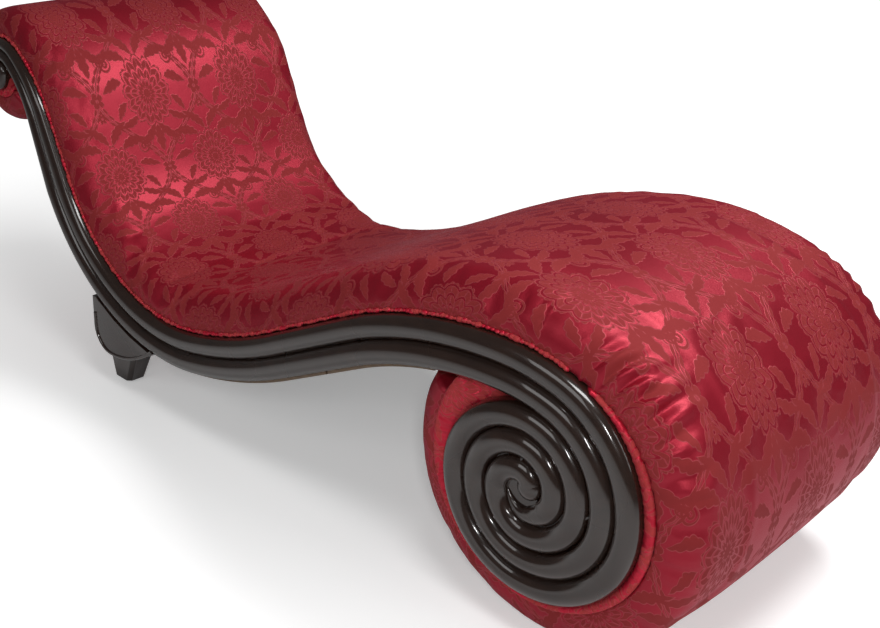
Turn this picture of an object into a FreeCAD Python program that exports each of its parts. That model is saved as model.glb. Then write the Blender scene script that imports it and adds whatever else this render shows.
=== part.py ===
import FreeCAD, Part
import math
import os

# Fainting couch with two carved S-shaped side frames, a padded head roll and a padded foot drum.
# Millimetres, +Z up, +X towards the foot drum, +Y towards the lying person's left.
# The origin lies on the floor, in the middle of the couch's length and width.

# Sizes across the couch
frame_width = 620.0            # over the flat grounds of the two show rails
rail_thickness = 22.0          # show rail without its beads
bead_rise = 14.0               # how far a full-width bead stands out of the rail
board_thickness = 24.0         # side boards, drum bulkheads and head bulkheads

# The S line of the rail's upper edge, from the drum back to the head
drum_rim_radius = 186.0        # circle that the upholstery follows round the drum
drum_tangent_angle = 65.6      # where the crest meets that circle, in degrees
crest_radius = 354.0
crest_turn = 25.5
hump_radius = 741.0
hump_turn = 26.1
slope_length = 192.0
rise_radius = 876.0
rise_turn = 15.7
dip_radius = 362.0
dip_turn = 74.6
back_length = 138.0
neck_radius = 275.0
neck_turn = 31.6
head_radius = 98.0
brow_radius = 150.0            # flat end of the line beyond its highest point
brow_turn = 12.0

# Show rail and its spirals
rail_width = 80.0              # two beads side by side
head_rail_width = 46.0         # the same two beads at the top of the head
foot_spiral_heading = -15.0    # where the foot scroll leaves the crest, in degrees
foot_spiral_radius = 199.4     # outer edge of the first quarter
head_spiral_radius = 60.0
backing_share = 0.82           # radius of the disc behind a spiral's eye, as a share of a winding's
least_radius = 1.0             # inner edge of the last winding, open so far round its centre

# Facets that stand for round stretches
fine_facet = 7.5               # degrees of turn from one facet to the next
coarse_facet = 15.0
bead_facets = 4                # flats across one bead
shoulder_facets = 4            # flats round one shoulder of a pad
least_facet = 1.0              # no facet turns less than this
flat_enough = 1e-6             # a facet whose corners are this near one plane stays whole

# Upholstery
pad_crown = 70.0               # height over the rail edge in the middle
pad_shoulder_height = 66.0     # height where the shoulder begins
pad_shoulder_radius = 52.0
roll_crown = 57.0              # the two heights on the head roll
roll_shoulder_height = 53.0
pad_inset = 4.0                # from the rail's flat ground in to the fullest line of the pad
cover_thickness = 1.6
drum_flat = 0.5                # the drum is pressed flat this deep on the floor
drum_pad_turn = 271.0          # how far the padding goes round the drum
head_rim_radius = 60.0         # circle that the upholstery follows round the head roll
roll_pad_turn = 222.0
rim_thickness = 15.0           # padded fabric ring round each spiral
seat_split_heading = -37.5     # heading in the dip where the back's pad meets the seat's

# Hidden structure
board_drop = 3.0               # side board's upper edge below the rail's upper edge
board_lift = 6.0               # side board's lower edge above the rail's lower edge
webbing_thickness = 2.4
webbing_width = 60.0
webbing_pitch = 80.0
webbing_gap = 8.0
slat_thickness = 9.0
slat_gap = 4.0
cross_rail_depth = 48.0
cross_rail_thickness = 24.0
cross_rail_drop = 14.0
roll_core_wall = 9.0
drum_rail_reach = 120.0        # drum cross rails from the drum's axis
drum_rail_count = 3
sheet_thickness = 1.2          # outside back cover and dust cover

# Legs
leg_station = 0.594            # share of the dip's turn at which the leg stands
knee_back = 98.0               # knee plate towards the head from the leg's middle
knee_front = 106.0             # and towards the foot, where it runs out on the rail
knee_drop = 74.0               # lowest point of the knee below the rail's lower edge
knee_round = 52.0              # radius of the knee's rounded corner
knee_runout = 16.0             # depth of the knee's front end below the rail's lower edge
knee_rise = 11.0               # how far the knee's face stands out of the rail's ground
foot_top_width = 134.0
foot_top_offset = -28.0        # foot's middle from the leg's middle, along the couch
foot_bottom_width = 52.0
foot_bottom_offset = -56.0
foot_bottom_depth = 44.0
foot_top_setback = 4.0         # foot's outer face behind the rail's flat ground
foot_bottom_setback = 18.0
foot_chamfer = 8.0
tongue_thickness = 20.0        # upright tongue of the leg on the side board's inner face
tongue_width = 126.0
tongue_top = 14.0              # below the rail's upper edge
glide_radius = 16.0
glide_thickness = 4.0

# Fittings
bolt_radius = 4.0
bolt_head_radius = 9.0
bolt_head_height = 5.0
bolt_spacing = 102.0           # one bolt on each side of the leg cross rail
bolt_stop = 2.0                # bolt's end inside the side board's outer face
block_leg = 30.0
screw_radius = 2.0
screw_head_radius = 4.5
screw_head_height = 2.5
screw_bite = 14.0              # how far a rail screw reaches into the show rail
hole_clearance = 0.2

touch = 0.3                    # clearance between neighbours that lie on each other

# Values worked out from the sizes above
half_width = frame_width / 2
rail_back = half_width - rail_thickness
board_inner = rail_back - board_thickness
tongue_inner = board_inner - tongue_thickness
pad_edge = half_width - pad_inset
drum_radius = drum_rim_radius + pad_crown
roll_radius = head_rim_radius + roll_crown
floor_level = -(drum_radius - drum_flat)
beyond = frame_width           # reach of a cutting block that passes everything

os.makedirs("parts", exist_ok=True)


def vector(x, y, z):
    return FreeCAD.Vector(x, y, z)


def up(heading):
    """Unit vector square to the rail's line, on its upholstered side."""
    angle = math.radians(heading)
    return vector(-math.sin(angle), 0, math.cos(angle))


def along(heading):
    """Unit vector along the rail's line, from head to foot."""
    angle = math.radians(heading)
    return vector(math.cos(angle), 0, math.sin(angle))


class Stretch:
    """One arc or straight run of the rail's line, walked from head to foot."""

    def __init__(self, start, heading, radius, turn, facet=fine_facet):
        self.start = start
        self.heading = heading
        self.radius = radius
        self.turn = turn                       # degrees, positive where the line bends upwards
        self.facet = facet
        self.side = 1 if turn > 0 else -1
        self.end_heading = heading + turn
        if turn == 0:
            self.length = radius
            self.end = start + along(heading) * radius
        else:
            self.length = radius * math.radians(abs(turn))
            self.centre = start + up(heading) * (self.side * radius)
            self.end = self.centre - up(self.end_heading) * (self.side * radius)

    def at(self, share, height=0.0):
        """Point at a share of the stretch, at a height over the rail's upper edge."""
        if self.turn == 0:
            return self.start + along(self.heading) * (self.length * share) + up(self.heading) * height
        return self.centre - up(self.heading_at(share)) * (self.side * self.radius - height)

    def heading_at(self, share):
        return self.heading + self.turn * share

    def part(self, first, last):
        if self.turn == 0:
            return Stretch(self.at(first), self.heading, self.length * (last - first), 0)
        turn = self.turn * (last - first)
        return Stretch(self.at(first), self.heading_at(first), self.radius, turn, self.facet)

    def shares(self):
        """Where the facets meet: both ends, and each whole facet of heading between them."""
        if self.turn == 0:
            return [0.0, 1.0]
        low, high = sorted((self.heading, self.end_heading))
        headings = [n * self.facet for n in range(math.floor(low / self.facet), math.ceil(high / self.facet))]
        inside = [angle for angle in headings if low + least_facet < angle < high - least_facet]
        return [0.0] + sorted((angle - self.heading) / self.turn for angle in inside) + [1.0]


def stretch_before(end, end_heading, radius, turn, facet=fine_facet):
    """The stretch that arrives at a known point and heading."""
    if turn == 0:
        return Stretch(end - along(end_heading) * radius, end_heading, radius, 0)
    side = 1 if turn > 0 else -1
    centre = end + up(end_heading) * (side * radius)
    heading = end_heading - turn
    return Stretch(centre - up(heading) * (side * radius), heading, radius, turn, facet)


def s_line():
    """The rail's upper edge as tangent stretches, walked back from the drum's rim."""
    angle = math.radians(drum_tangent_angle)
    point = vector(drum_rim_radius * math.cos(angle), 0, drum_rim_radius * math.sin(angle))
    heading = drum_tangent_angle - 90
    plan = [
        ("crest", crest_radius, -crest_turn),
        ("hump", hump_radius, -hump_turn),
        ("slope", slope_length, 0),
        ("rise", rise_radius, rise_turn),
        ("dip", dip_radius, dip_turn),
        ("back", back_length, 0),
        ("neck", neck_radius, -neck_turn),
    ]
    line = {}
    for name, radius, turn in plan:
        line[name] = stretch_before(point, heading, radius, turn)
        point = line[name].start
        heading = line[name].heading
    # The head arc is level at the highest point of the line, and the brow follows beyond it.
    line["head"] = stretch_before(point, heading, head_radius, heading)
    line["brow"] = stretch_before(line["head"].start, 0, brow_radius, -brow_turn)
    return line


line = s_line()
tapered = [line[name] for name in ("brow", "head", "neck", "back")]
even = [line[name] for name in ("dip", "rise", "slope", "hump", "crest")]
taper_length = sum(stretch.length for stretch in tapered)
head_end = line["brow"].start
head_heading = line["brow"].heading
roll = stretch_before(head_end, head_heading, head_rim_radius, -roll_pad_turn, coarse_facet)
drum = Stretch(line["crest"].end, line["crest"].end_heading, drum_rim_radius, -drum_pad_turn)
roll_centre = roll.centre
drum_centre = drum.centre
middle = (roll_centre.x - roll_radius + drum_centre.x + drum_radius) / 2
shift = vector(-middle, 0, -floor_level)


def rail_width_at(distance):
    """Rail width at a distance from the head end of the tapered board."""
    return head_rail_width + (rail_width - head_rail_width) * min(1, distance / taper_length)


# Ways to make a solid

def trace(stretches, height_at):
    """Points along stretches that follow each other, at a height for each distance."""
    points = []
    distance = 0.0
    for stretch in stretches:
        for share in stretch.shares():
            if share > 0 or not points:
                points.append(stretch.at(share, height_at(distance + share * stretch.length)))
        distance += stretch.length
    return points


def polygon(points):
    return Part.makePolygon(points + points[:1])


def skin(rings):
    """A closed solid whose flat facets join one ring of points to the next."""
    faces = [Part.Face(polygon(rings[0])), Part.Face(polygon(rings[-1]))]
    for near, far in zip(rings, rings[1:]):
        for number in range(len(near)):
            a, b, c, d = near[number - 1], near[number], far[number], far[number - 1]
            across = (b - a).cross(d - a)
            if abs(across.dot(c - a)) < flat_enough * across.Length:
                faces.append(Part.Face(polygon([a, b, c, d])))
            else:
                faces.append(Part.Face(polygon([a, b, c])))
                faces.append(Part.Face(polygon([a, c, d])))
    shell = Part.makeShell(faces)
    shell.sewShape()
    solid = Part.makeSolid(shell)
    return solid if solid.Volume > 0 else solid.reversed()


def run(stretches, outline_at):
    """Carry an outline of (y, height) pairs along stretches that follow each other."""
    rings = []
    distance = 0.0
    for stretch in stretches:
        for share in stretch.shares():
            if share > 0 or not rings:
                outline = outline_at(distance + share * stretch.length)
                rings.append([stretch.at(share, height) + vector(0, y, 0) for y, height in outline])
        distance += stretch.length
    return skin(rings)


def constant(value):
    return lambda distance: value


def band(side, inner, outer, bottom, top):
    """An outline between two distances from the middle plane and two heights."""
    return constant([(side * inner, bottom), (side * outer, bottom), (side * outer, top), (side * inner, top)])


def layer(stretches, half, bottom, top):
    """A crosswise layer that spans the couch along some stretches."""
    return run(stretches, constant([(-half, bottom), (half, bottom), (half, top), (-half, top)]))


def plate(points, inner, outer, side):
    """A flat outline in the side plane, given a thickness between two distances."""
    corners = [point for number, point in enumerate(points) if point.distanceToPoint(points[number - 1]) > touch / 10]
    face = Part.Face(polygon(corners))
    face.translate(vector(0, side * inner, 0))
    return face.extrude(vector(0, side * (outer - inner), 0))


def disc(centre, radius, inner, outer, side, facet=coarse_facet):
    """A many-sided disc with its corners at whole facets of heading."""
    headings = [number * facet for number in range(round(360 / facet))]
    return plate([centre + up(heading) * radius for heading in headings], inner, outer, side)


def flat_strip(stretch, first, last, gap, half, bottom, top):
    """A flat strip across the couch between two shares of a stretch, a gap off both ends."""
    corners = []
    for height in (bottom, top):
        start = stretch.at(first, height)
        end = stretch.at(last, height)
        inset = (end - start).normalize() * (gap / 2)
        corners.append((start + inset, end - inset))
    points = [corners[0][0], corners[0][1], corners[1][1], corners[1][0]]
    return plate(points, -half, half, 1)


def join(shapes):
    return shapes[0].multiFuse(shapes[1:]).removeSplitter()


def save(name, shape):
    placed = shape.copy()
    placed.translate(shift)
    solids = placed.Solids
    result = solids[0] if len(solids) == 1 else Part.makeCompound(solids)
    result.exportStep("parts/" + name + ".step")


# Show rails: two beads with a sharp groove between them

def moulding(side, width, beads=2, lowered=0.0):
    """Outline of the moulding, from its upper edge down over its beads and back behind them."""
    bead = width / 2
    rise = bead_rise * width / rail_width
    radius = (bead ** 2 / 4 + rise ** 2) / (2 * rise)
    half_angle = math.asin(bead / 2 / radius)
    outline = [(side * half_width, -lowered)]
    for number in range(beads):
        for step in range(1, bead_facets + 1):
            angle = half_angle * (1 - 2 * step / bead_facets)
            y = half_width + rise + radius * (math.cos(angle) - 1)
            outline.append((side * y, radius * math.sin(angle) - (number + 0.5) * bead - lowered))
    outline.append((side * rail_back, -beads * bead - lowered))
    outline.append((side * rail_back, -lowered))
    return outline


def kept_open(outline, radius):
    """The outline with its lower edge kept off the centre of a winding of that radius."""
    return constant([(y, max(height, least_radius - radius)) for y, height in outline])


def eye(side, centre, radius, rise):
    """Rounded end of the inner bead, a low dome on a short post."""
    rings = []
    for share, y in ((1, rail_back), (1, half_width), (0.7, half_width + 0.75 * rise), (0.3, half_width + rise)):
        headings = [number * 2 * coarse_facet for number in range(round(180 / coarse_facet))]
        points = [centre + up(heading) * (radius * share) + vector(0, side * y, 0) for heading in headings]
        rings.append(points)
    return skin(rings)


foot_lead = (foot_spiral_heading - line["crest"].end_heading) / crest_turn
foot_crest = line["crest"].part(0, 1 - foot_lead)


def foot_spiral():
    """Quarter turns of the foot scroll, each a quarter of a rail narrower than the last."""
    quarters = []
    point = foot_crest.end
    heading = foot_crest.end_heading
    radius = foot_spiral_radius
    turn = 90 + heading
    while radius > rail_width / 2 - least_radius:
        quarters.append(Stretch(point, heading, radius, -turn))
        point = quarters[-1].end
        heading = quarters[-1].end_heading
        radius -= rail_width / 4
        turn = 90.0
    return quarters


def head_spiral():
    """Quarter turns of the head scroll, walked back from the end of the brow."""
    quarters = []
    point = line["brow"].at(0, -touch)
    heading = head_heading
    radius = head_spiral_radius
    turn = 90 - heading
    while radius > head_rail_width / 2 - least_radius:
        quarters.append(stretch_before(point, heading, radius, -turn, coarse_facet))
        point = quarters[-1].start
        heading = quarters[-1].heading
        radius -= head_rail_width / 4
        turn = 90.0
    return quarters


foot_quarters = foot_spiral()
head_quarters = head_spiral()


def foot_scroll(side):
    full = moulding(side, rail_width)
    core = foot_quarters[6]
    last = foot_quarters[-1]
    pieces = [
        run([line["hump"], foot_crest] + foot_quarters[:4], constant(full)),
        run(foot_quarters[4:6], constant(full)),
        run([core], kept_open(full, core.radius)),
        run(foot_quarters[7:], kept_open(moulding(side, rail_width, 1), last.radius)),
        disc(core.centre, core.radius * backing_share, rail_back, half_width, side),
        eye(side, last.at(1, -rail_width / 4), rail_width / 4, bead_rise),
    ]
    return join(pieces)


def head_scroll(side):
    full = moulding(side, head_rail_width)
    single = moulding(side, head_rail_width, 1)
    rise = bead_rise * head_rail_width / rail_width
    inner = head_quarters[-1]
    pieces = [
        run(tapered, lambda distance: moulding(side, rail_width_at(distance), 2, touch)),
        run([head_quarters[1], head_quarters[0]], constant(full)),
        run([head_quarters[3], head_quarters[2]], constant(single)),
        disc(inner.centre, inner.radius * backing_share, rail_back, half_width, side),
        eye(side, inner.at(0, -head_rail_width / 4), head_rail_width / 4, rise),
    ]
    return join(pieces)


def seat_rail(side):
    return run(even[:3], constant(moulding(side, rail_width)))


# Structure behind the show rails

def side_outline(high, lift):
    """The S outline between a height and a lift over the rails' lower edges."""
    upper = trace(tapered, constant(high)) + trace(even, constant(high))
    lower = trace(tapered, lambda distance: lift - rail_width_at(distance)) + trace(even, constant(lift - rail_width))
    return upper + lower[::-1]


def side_board(side):
    board = plate(side_outline(-board_drop, board_lift), board_inner, rail_back, side)
    board = board.cut(disc(drum_centre, drum_rim_radius - slat_thickness, 0, beyond, side))
    return board.cut(disc(roll_centre, head_rim_radius + touch, 0, beyond, side)).Solids[0]


def drum_bulkhead(side):
    return disc(drum_centre, drum_rim_radius - slat_thickness - 2 * touch, board_inner, rail_back, side)


def head_bulkhead(side):
    return disc(roll_centre, head_rim_radius, board_inner, rail_back, side)


def roll_core():
    outside = disc(roll_centre, head_rim_radius, -board_inner, board_inner, 1)
    return outside.cut(disc(roll_centre, head_rim_radius - roll_core_wall, -beyond, beyond, 1))


def drum_slats():
    """Flat slats laid round the two bulkheads under the drum's padding."""
    shares = drum.shares()[1:-1:2]
    pairs = zip(shares, shares[1:])
    low = -slat_thickness - touch
    slats = [flat_strip(drum, first, last, slat_gap, rail_back, low, -touch) for first, last in pairs]
    return Part.makeCompound(slats)


def drum_cross_rails():
    bars = []
    for number in range(drum_rail_count):
        bar = Part.makeBox(cross_rail_depth, 2 * board_inner, cross_rail_thickness)
        bar.translate(vector(-cross_rail_depth / 2, -board_inner, drum_rail_reach))
        bar.rotate(vector(0, 0, 0), vector(0, 1, 0), 90 + number * 360 / drum_rail_count)
        bar.translate(drum_centre)
        bars.append(bar)
    return Part.makeCompound(bars)


def cross_rail(stretch, share, half):
    bar = Part.makeBox(cross_rail_thickness, 2 * half, cross_rail_depth)
    bar.translate(vector(-cross_rail_thickness / 2, -half, 0))
    bar.rotate(vector(0, 0, 0), vector(0, 1, 0), -stretch.heading_at(share))
    bar.translate(stretch.at(share, -cross_rail_drop - cross_rail_depth))
    return bar


def webbing(names):
    """Crosswise straps stapled on the side boards, one or more on each facet of some stretches."""
    straps = []
    for name in names:
        stretch = line[name]
        shares = stretch.shares()
        for first, last in zip(shares, shares[1:]):
            length = stretch.length * (last - first)
            count = max(1, int(length / webbing_pitch))
            gap = max(webbing_gap, length / count - webbing_width)
            if length > webbing_width / 2:
                for number in range(count):
                    ends = [first + (last - first) * (number + end) / count for end in (0, 1)]
                    if stretch.turn != 0:
                        ends = [first, last]
                        gap = length - webbing_width if length > webbing_pitch else webbing_gap
                    high = webbing_thickness - board_drop
                    straps.append(flat_strip(stretch, ends[0], ends[1], gap, rail_back, -board_drop, high))
                    if stretch.turn != 0:
                        break
    return Part.makeCompound(straps)


# Upholstery: a crowned section whose sides draw in to the rail

def pad_outline(inset, fullness):
    """The crowned outline above the rail, drawn in by a thickness.

    A fullness of 1 gives the seat's crown and 0 gives the head roll's lower one.
    """
    crown_height = roll_crown + (pad_crown - roll_crown) * fullness
    shoulder_height = roll_shoulder_height + (pad_shoulder_height - roll_shoulder_height) * fullness
    shoulder_radius = pad_shoulder_radius * shoulder_height / pad_shoulder_height
    radius = shoulder_radius - inset
    centre_y = pad_edge - shoulder_radius
    centre_h = shoulder_height - shoulder_radius
    low_angle = -math.asin(centre_h / radius)
    high_angle = math.pi / 2 - math.atan2(2 * (crown_height - shoulder_height), centre_y)
    half = []
    for step in range(shoulder_facets + 1):
        angle = low_angle + (high_angle - low_angle) * step / shoulder_facets
        half.append((centre_y + radius * math.cos(angle), centre_h + radius * math.sin(angle)))
    mirrored = [(-y, height) for y, height in half]
    return mirrored + [(0, crown_height - inset)] + half[::-1]


def foam_outline(fullness=1.0):
    return pad_outline(cover_thickness + touch, fullness)


def cover_outline(fullness=1.0):
    return pad_outline(0, fullness) + pad_outline(cover_thickness, fullness)[::-1]


def head_fullness(distance):
    """The crown grows from the roll's height to the full one over the brow and the head."""
    grown = (distance - roll.length) / (line["brow"].length + line["head"].length)
    return min(1, max(0, grown))


seat_split = (seat_split_heading - line["dip"].heading) / dip_turn
back_dip = line["dip"].part(0, seat_split)
seat_dip = line["dip"].part(seat_split, 1)
head_stretches = [roll, line["brow"], line["head"]]
back_stretches = [line["neck"], line["back"], back_dip]
seat_stretches = [seat_dip, line["rise"]]
hump_stretches = [line["slope"], line["hump"], line["crest"]]


def clear_of_hump(shape):
    """Cut the drum's wrap back where it comes round to the underside of the hump."""
    return shape.cut(layer([line["slope"], line["hump"], foot_crest], beyond, -rail_width - touch, 1))


def clear_of_back(shape):
    """Cut the roll's wrap back where it comes round to the back of the side boards."""
    width = rail_width_at(taper_length)
    return shape.cut(layer([line["neck"], line["back"]], beyond, -width - touch, -touch))


def floor_cut(shape):
    """Press the drum flat where it stands on the floor."""
    block = Part.makeBox(4 * drum_radius, 2 * beyond, drum_radius)
    block.translate(vector(-2 * drum_radius, -beyond, floor_level - drum_radius))
    return shape.cut(block)


# Padded fabric ring that closes the drum and the roll round each spiral

def spiral_ground(quarters, side):
    """Everything inside a spiral's first full turn, with a clearance round it."""
    return plate(trace(quarters, constant(touch)), rail_back - touch, half_width, side)


def drum_rim(side):
    ring = disc(drum_centre, drum_rim_radius, rail_back, rail_back + rim_thickness, side, fine_facet)
    ring = ring.cut(spiral_ground(foot_quarters[:4], side))
    arm = [line["hump"], foot_crest]
    points = trace(arm, constant(touch)) + trace(arm, constant(-rail_width - touch))[::-1]
    return ring.cut(plate(points, rail_back - touch, half_width, side))


def head_rim(side):
    ring = disc(roll_centre, head_rim_radius, rail_back, rail_back + rim_thickness, side)
    ring = ring.cut(spiral_ground(head_quarters[3::-1], side))
    upper = trace(tapered, constant(touch))
    lower = trace(tapered, lambda distance: -2 * touch - rail_width_at(distance))
    return ring.cut(plate(upper + lower[::-1], rail_back - touch, half_width, side))


# Legs: a knee plate that hangs from the rail, a tapering foot and a tongue behind the side board

leg_heading = line["dip"].heading_at(leg_station)
leg_point = line["dip"].at(leg_station, -rail_width)
sole_level = floor_level + glide_thickness


def leg_place(offset, height):
    return leg_point + vector(offset, 0, height)


def knee(side):
    """Knee plate with a rounded corner and a long curve that runs out on the rail."""
    high = rail_width / 2
    points = [leg_place(knee_front, high), leg_place(-knee_back, high)]
    for step in range(bead_facets + 1):
        angle = math.pi * (1 + 0.5 * step / bead_facets)
        across = knee_round * (1 + math.cos(angle)) - knee_back
        points.append(leg_place(across, knee_round * (1 + math.sin(angle)) - knee_drop))
    for step in range(1, bead_facets + 1):
        share = step / bead_facets
        across = knee_round - knee_back + (knee_front + knee_back - knee_round) * share
        points.append(leg_place(across, -knee_drop + (knee_drop - knee_runout) * share ** 2))
    return plate(points, rail_back, half_width + knee_rise, side)


def foot_outline(offset, width, inner, outer, level):
    """Level outline of the foot with its corners cut off."""
    low_x = leg_point.x + offset - width / 2
    high_x = leg_point.x + offset + width / 2
    low_y, high_y = sorted((inner, outer))
    cut = foot_chamfer
    return [
        vector(low_x + cut, low_y, level), vector(high_x - cut, low_y, level),
        vector(high_x, low_y + cut, level), vector(high_x, high_y - cut, level),
        vector(high_x - cut, high_y, level), vector(low_x + cut, high_y, level),
        vector(low_x, high_y - cut, level), vector(low_x, low_y + cut, level),
    ]


def foot(side):
    """The foot tapers down from the rail, and its top goes on up behind the knee plate."""
    bottom_outer = half_width - foot_bottom_setback
    top_outer = half_width - foot_top_setback
    levels = [
        (foot_bottom_offset, foot_bottom_width, bottom_outer - foot_bottom_depth, bottom_outer, sole_level),
        (foot_top_offset, foot_top_width, tongue_inner, top_outer, leg_point.z),
        (foot_top_offset, foot_top_width, tongue_inner, top_outer, leg_point.z + rail_width / 4),
    ]
    rings = []
    for offset, width, inner, outer, level in levels:
        rings.append(foot_outline(offset, width, side * inner, side * outer, level))
    return skin(rings)


def leg_blank(side):
    half = tongue_width / 2 / line["dip"].length
    behind = line["dip"].part(leg_station - half, leg_station + half)
    tongue = run([behind], band(side, tongue_inner, board_inner, -rail_width, -tongue_top))
    blank = join([knee(side), foot(side), tongue])
    above = [line["back"], line["dip"], line["rise"]]
    show_rail = run(above, band(side, rail_back, beyond, -rail_width, rail_width))
    board = run(above, band(side, board_inner, rail_back, board_lift - rail_width, rail_width))
    return blank.cut(show_rail).cut(board)


def rod(point, radius, start, end, side):
    return disc(vector(point.x, 0, point.z), radius, start, end, side, 3 * coarse_facet)


bolt_centre = line["dip"].at(leg_station, -rail_width / 2)
bolt_places = [bolt_centre + along(leg_heading) * (way * bolt_spacing / 2) for way in (-1, 1)]


def bolt(point, side):
    shank = rod(point, bolt_radius, tongue_inner, rail_back - bolt_stop, side)
    return shank.fuse(rod(point, bolt_head_radius, tongue_inner - bolt_head_height, tongue_inner, side))


def bolt_holes(side):
    radius = bolt_radius + hole_clearance
    end = rail_back - bolt_stop + touch
    return Part.makeCompound([rod(point, radius, tongue_inner - 1, end, side) for point in bolt_places])


def glide(side):
    outer = half_width - foot_bottom_setback - foot_bottom_depth / 2
    base = vector(leg_point.x + foot_bottom_offset, side * outer, floor_level)
    headings = [number * coarse_facet for number in range(round(360 / coarse_facet))]
    points = [base + vector(glide_radius * along(angle).x, glide_radius * along(angle).z, 0) for angle in headings]
    return Part.Face(polygon(points)).extrude(vector(0, 0, glide_thickness))


def corner_block(side, facing):
    """Triangular block between the leg's tongue and the leg cross rail."""
    face_x = facing * cross_rail_thickness / 2
    points = [
        vector(face_x, side * tongue_inner, 0),
        vector(face_x + facing * block_leg, side * tongue_inner, 0),
        vector(face_x, side * (tongue_inner - block_leg), 0),
    ]
    block = Part.Face(polygon(points)).extrude(vector(0, 0, cross_rail_depth))
    block.rotate(vector(0, 0, 0), vector(0, 1, 0), -leg_heading)
    block.translate(line["dip"].at(leg_station, -cross_rail_drop - cross_rail_depth))
    return block


# Screws that hold the show rails from inside the side boards

screw_places = (
    ("neck", 0.2), ("back", 0.4), ("dip", 0.25), ("dip", 0.88),
    ("rise", 0.6), ("slope", 0.6), ("hump", 0.35), ("hump", 0.8),
)
screw_points = [line[name].at(share, -rail_width * 0.4) for name, share in screw_places]


def rail_screw(point, side):
    shank = rod(point, screw_radius, board_inner, rail_back + screw_bite, side)
    return shank.fuse(rod(point, screw_head_radius, board_inner - screw_head_height, board_inner, side))


def screw_holes(side):
    radius = screw_radius + hole_clearance
    end = rail_back + screw_bite + touch
    return Part.makeCompound([rod(point, radius, board_inner - 1, end, side) for point in screw_points])


# Sheets that close the couch behind and below

def outside_back_sheet():
    near = board_lift - touch
    low_dip = line["dip"].part(0, leg_station)
    edges = []
    for lift in (near, near - sheet_thickness):
        points = trace(tapered, lambda distance: lift - rail_width_at(distance))
        edges.append(points + trace([low_dip], constant(lift - rail_width)))
    sheet = plate(edges[0] + edges[1][::-1], -rail_back, rail_back, 1)
    return sheet.cut(disc(roll_centre, roll_radius + touch, -beyond, beyond, 1))


def dust_sheet():
    high = board_lift - touch - rail_width
    stretches = [line["dip"].part(leg_station, 1)] + even[1:4]
    sheet = layer(stretches, rail_back, high - sheet_thickness, high)
    return sheet.cut(disc(drum_centre, drum_radius + touch, -beyond, beyond, 1, fine_facet))


def clear_of_legs(sheet):
    """Cut a sheet back round both legs."""
    return sheet.cut(leg_blank(-1)).cut(leg_blank(1))


for side, word in ((-1, "right"), (1, "left")):
    holes = screw_holes(side)
    save(word + "_head_scroll", head_scroll(side).cut(holes))
    save(word + "_seat_rail", seat_rail(side).cut(holes))
    save(word + "_foot_scroll", foot_scroll(side).cut(holes))
    save(word + "_side_board", side_board(side).cut(holes).cut(bolt_holes(side)))
    save(word + "_drum_bulkhead", drum_bulkhead(side))
    save(word + "_head_bulkhead", head_bulkhead(side))
    save(word + "_drum_rim", drum_rim(side))
    save(word + "_head_rim", head_rim(side))
    save(word + "_leg", leg_blank(side).cut(bolt_holes(side)))

save("leg_bolts", Part.makeCompound([bolt(point, side) for side in (-1, 1) for point in bolt_places]))
save("leg_glides", Part.makeCompound([glide(side) for side in (-1, 1)]))
save("corner_blocks", Part.makeCompound([corner_block(side, way) for side in (-1, 1) for way in (-1, 1)]))
save("rail_screws", Part.makeCompound([rail_screw(point, side) for side in (-1, 1) for point in screw_points]))

save("head_roll_core", roll_core())
save("drum_cross_rails", drum_cross_rails())
save("drum_slats", drum_slats())
save("upper_back_cross_rail", cross_rail(line["neck"], 0.55, board_inner))
save("lower_back_cross_rail", cross_rail(line["back"], 0.85, board_inner))
save("leg_cross_rail", cross_rail(line["dip"], leg_station, tongue_inner))
save("seat_cross_rail", cross_rail(line["dip"], 0.80, board_inner))
save("slope_cross_rail", cross_rail(line["slope"], 0.35, board_inner))
save("hump_cross_rail", cross_rail(line["hump"], 0.62, board_inner))
save("back_webbing", webbing(("neck", "back")))
save("seat_webbing", webbing(("dip", "rise")))
save("hump_webbing", webbing(("slope", "hump", "crest")))

save("head_roll_foam", clear_of_back(run(head_stretches, lambda distance: foam_outline(head_fullness(distance)))))
save("back_foam", run(back_stretches, constant(foam_outline())))
save("seat_foam", run(seat_stretches, constant(foam_outline())))
save("hump_foam", run(hump_stretches, constant(foam_outline())))
save("drum_foam", floor_cut(clear_of_hump(run([drum], constant(foam_outline())))))

whole_top = head_stretches + back_stretches + seat_stretches + hump_stretches
save("top_cover", clear_of_back(run(whole_top, lambda distance: cover_outline(head_fullness(distance)))))
save("drum_cover", floor_cut(clear_of_hump(run([drum], constant(cover_outline())))))
save("outside_back_cover", clear_of_legs(outside_back_sheet()))
save("dust_cover", clear_of_legs(dust_sheet()))
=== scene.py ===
# %% [markdown]
# # A fainting couch in lacquered wood and satin damask
#
# The couch has two carved side frames, drawn as one long S. Two round beads run down the S and
# coil into a spiral at each end. Padding follows the S from the roll at the head, down the back,
# over the seat and the hump, and round the drum at the foot. The hard structure comes from the
# CAD frame. This script makes what the eye sees: the beads as smooth mouldings, the padding as
# cloth, and every finish as a procedural material.

import math

import bmesh
import bpy
import numpy as np
from mathutils import Matrix, Vector


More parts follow.
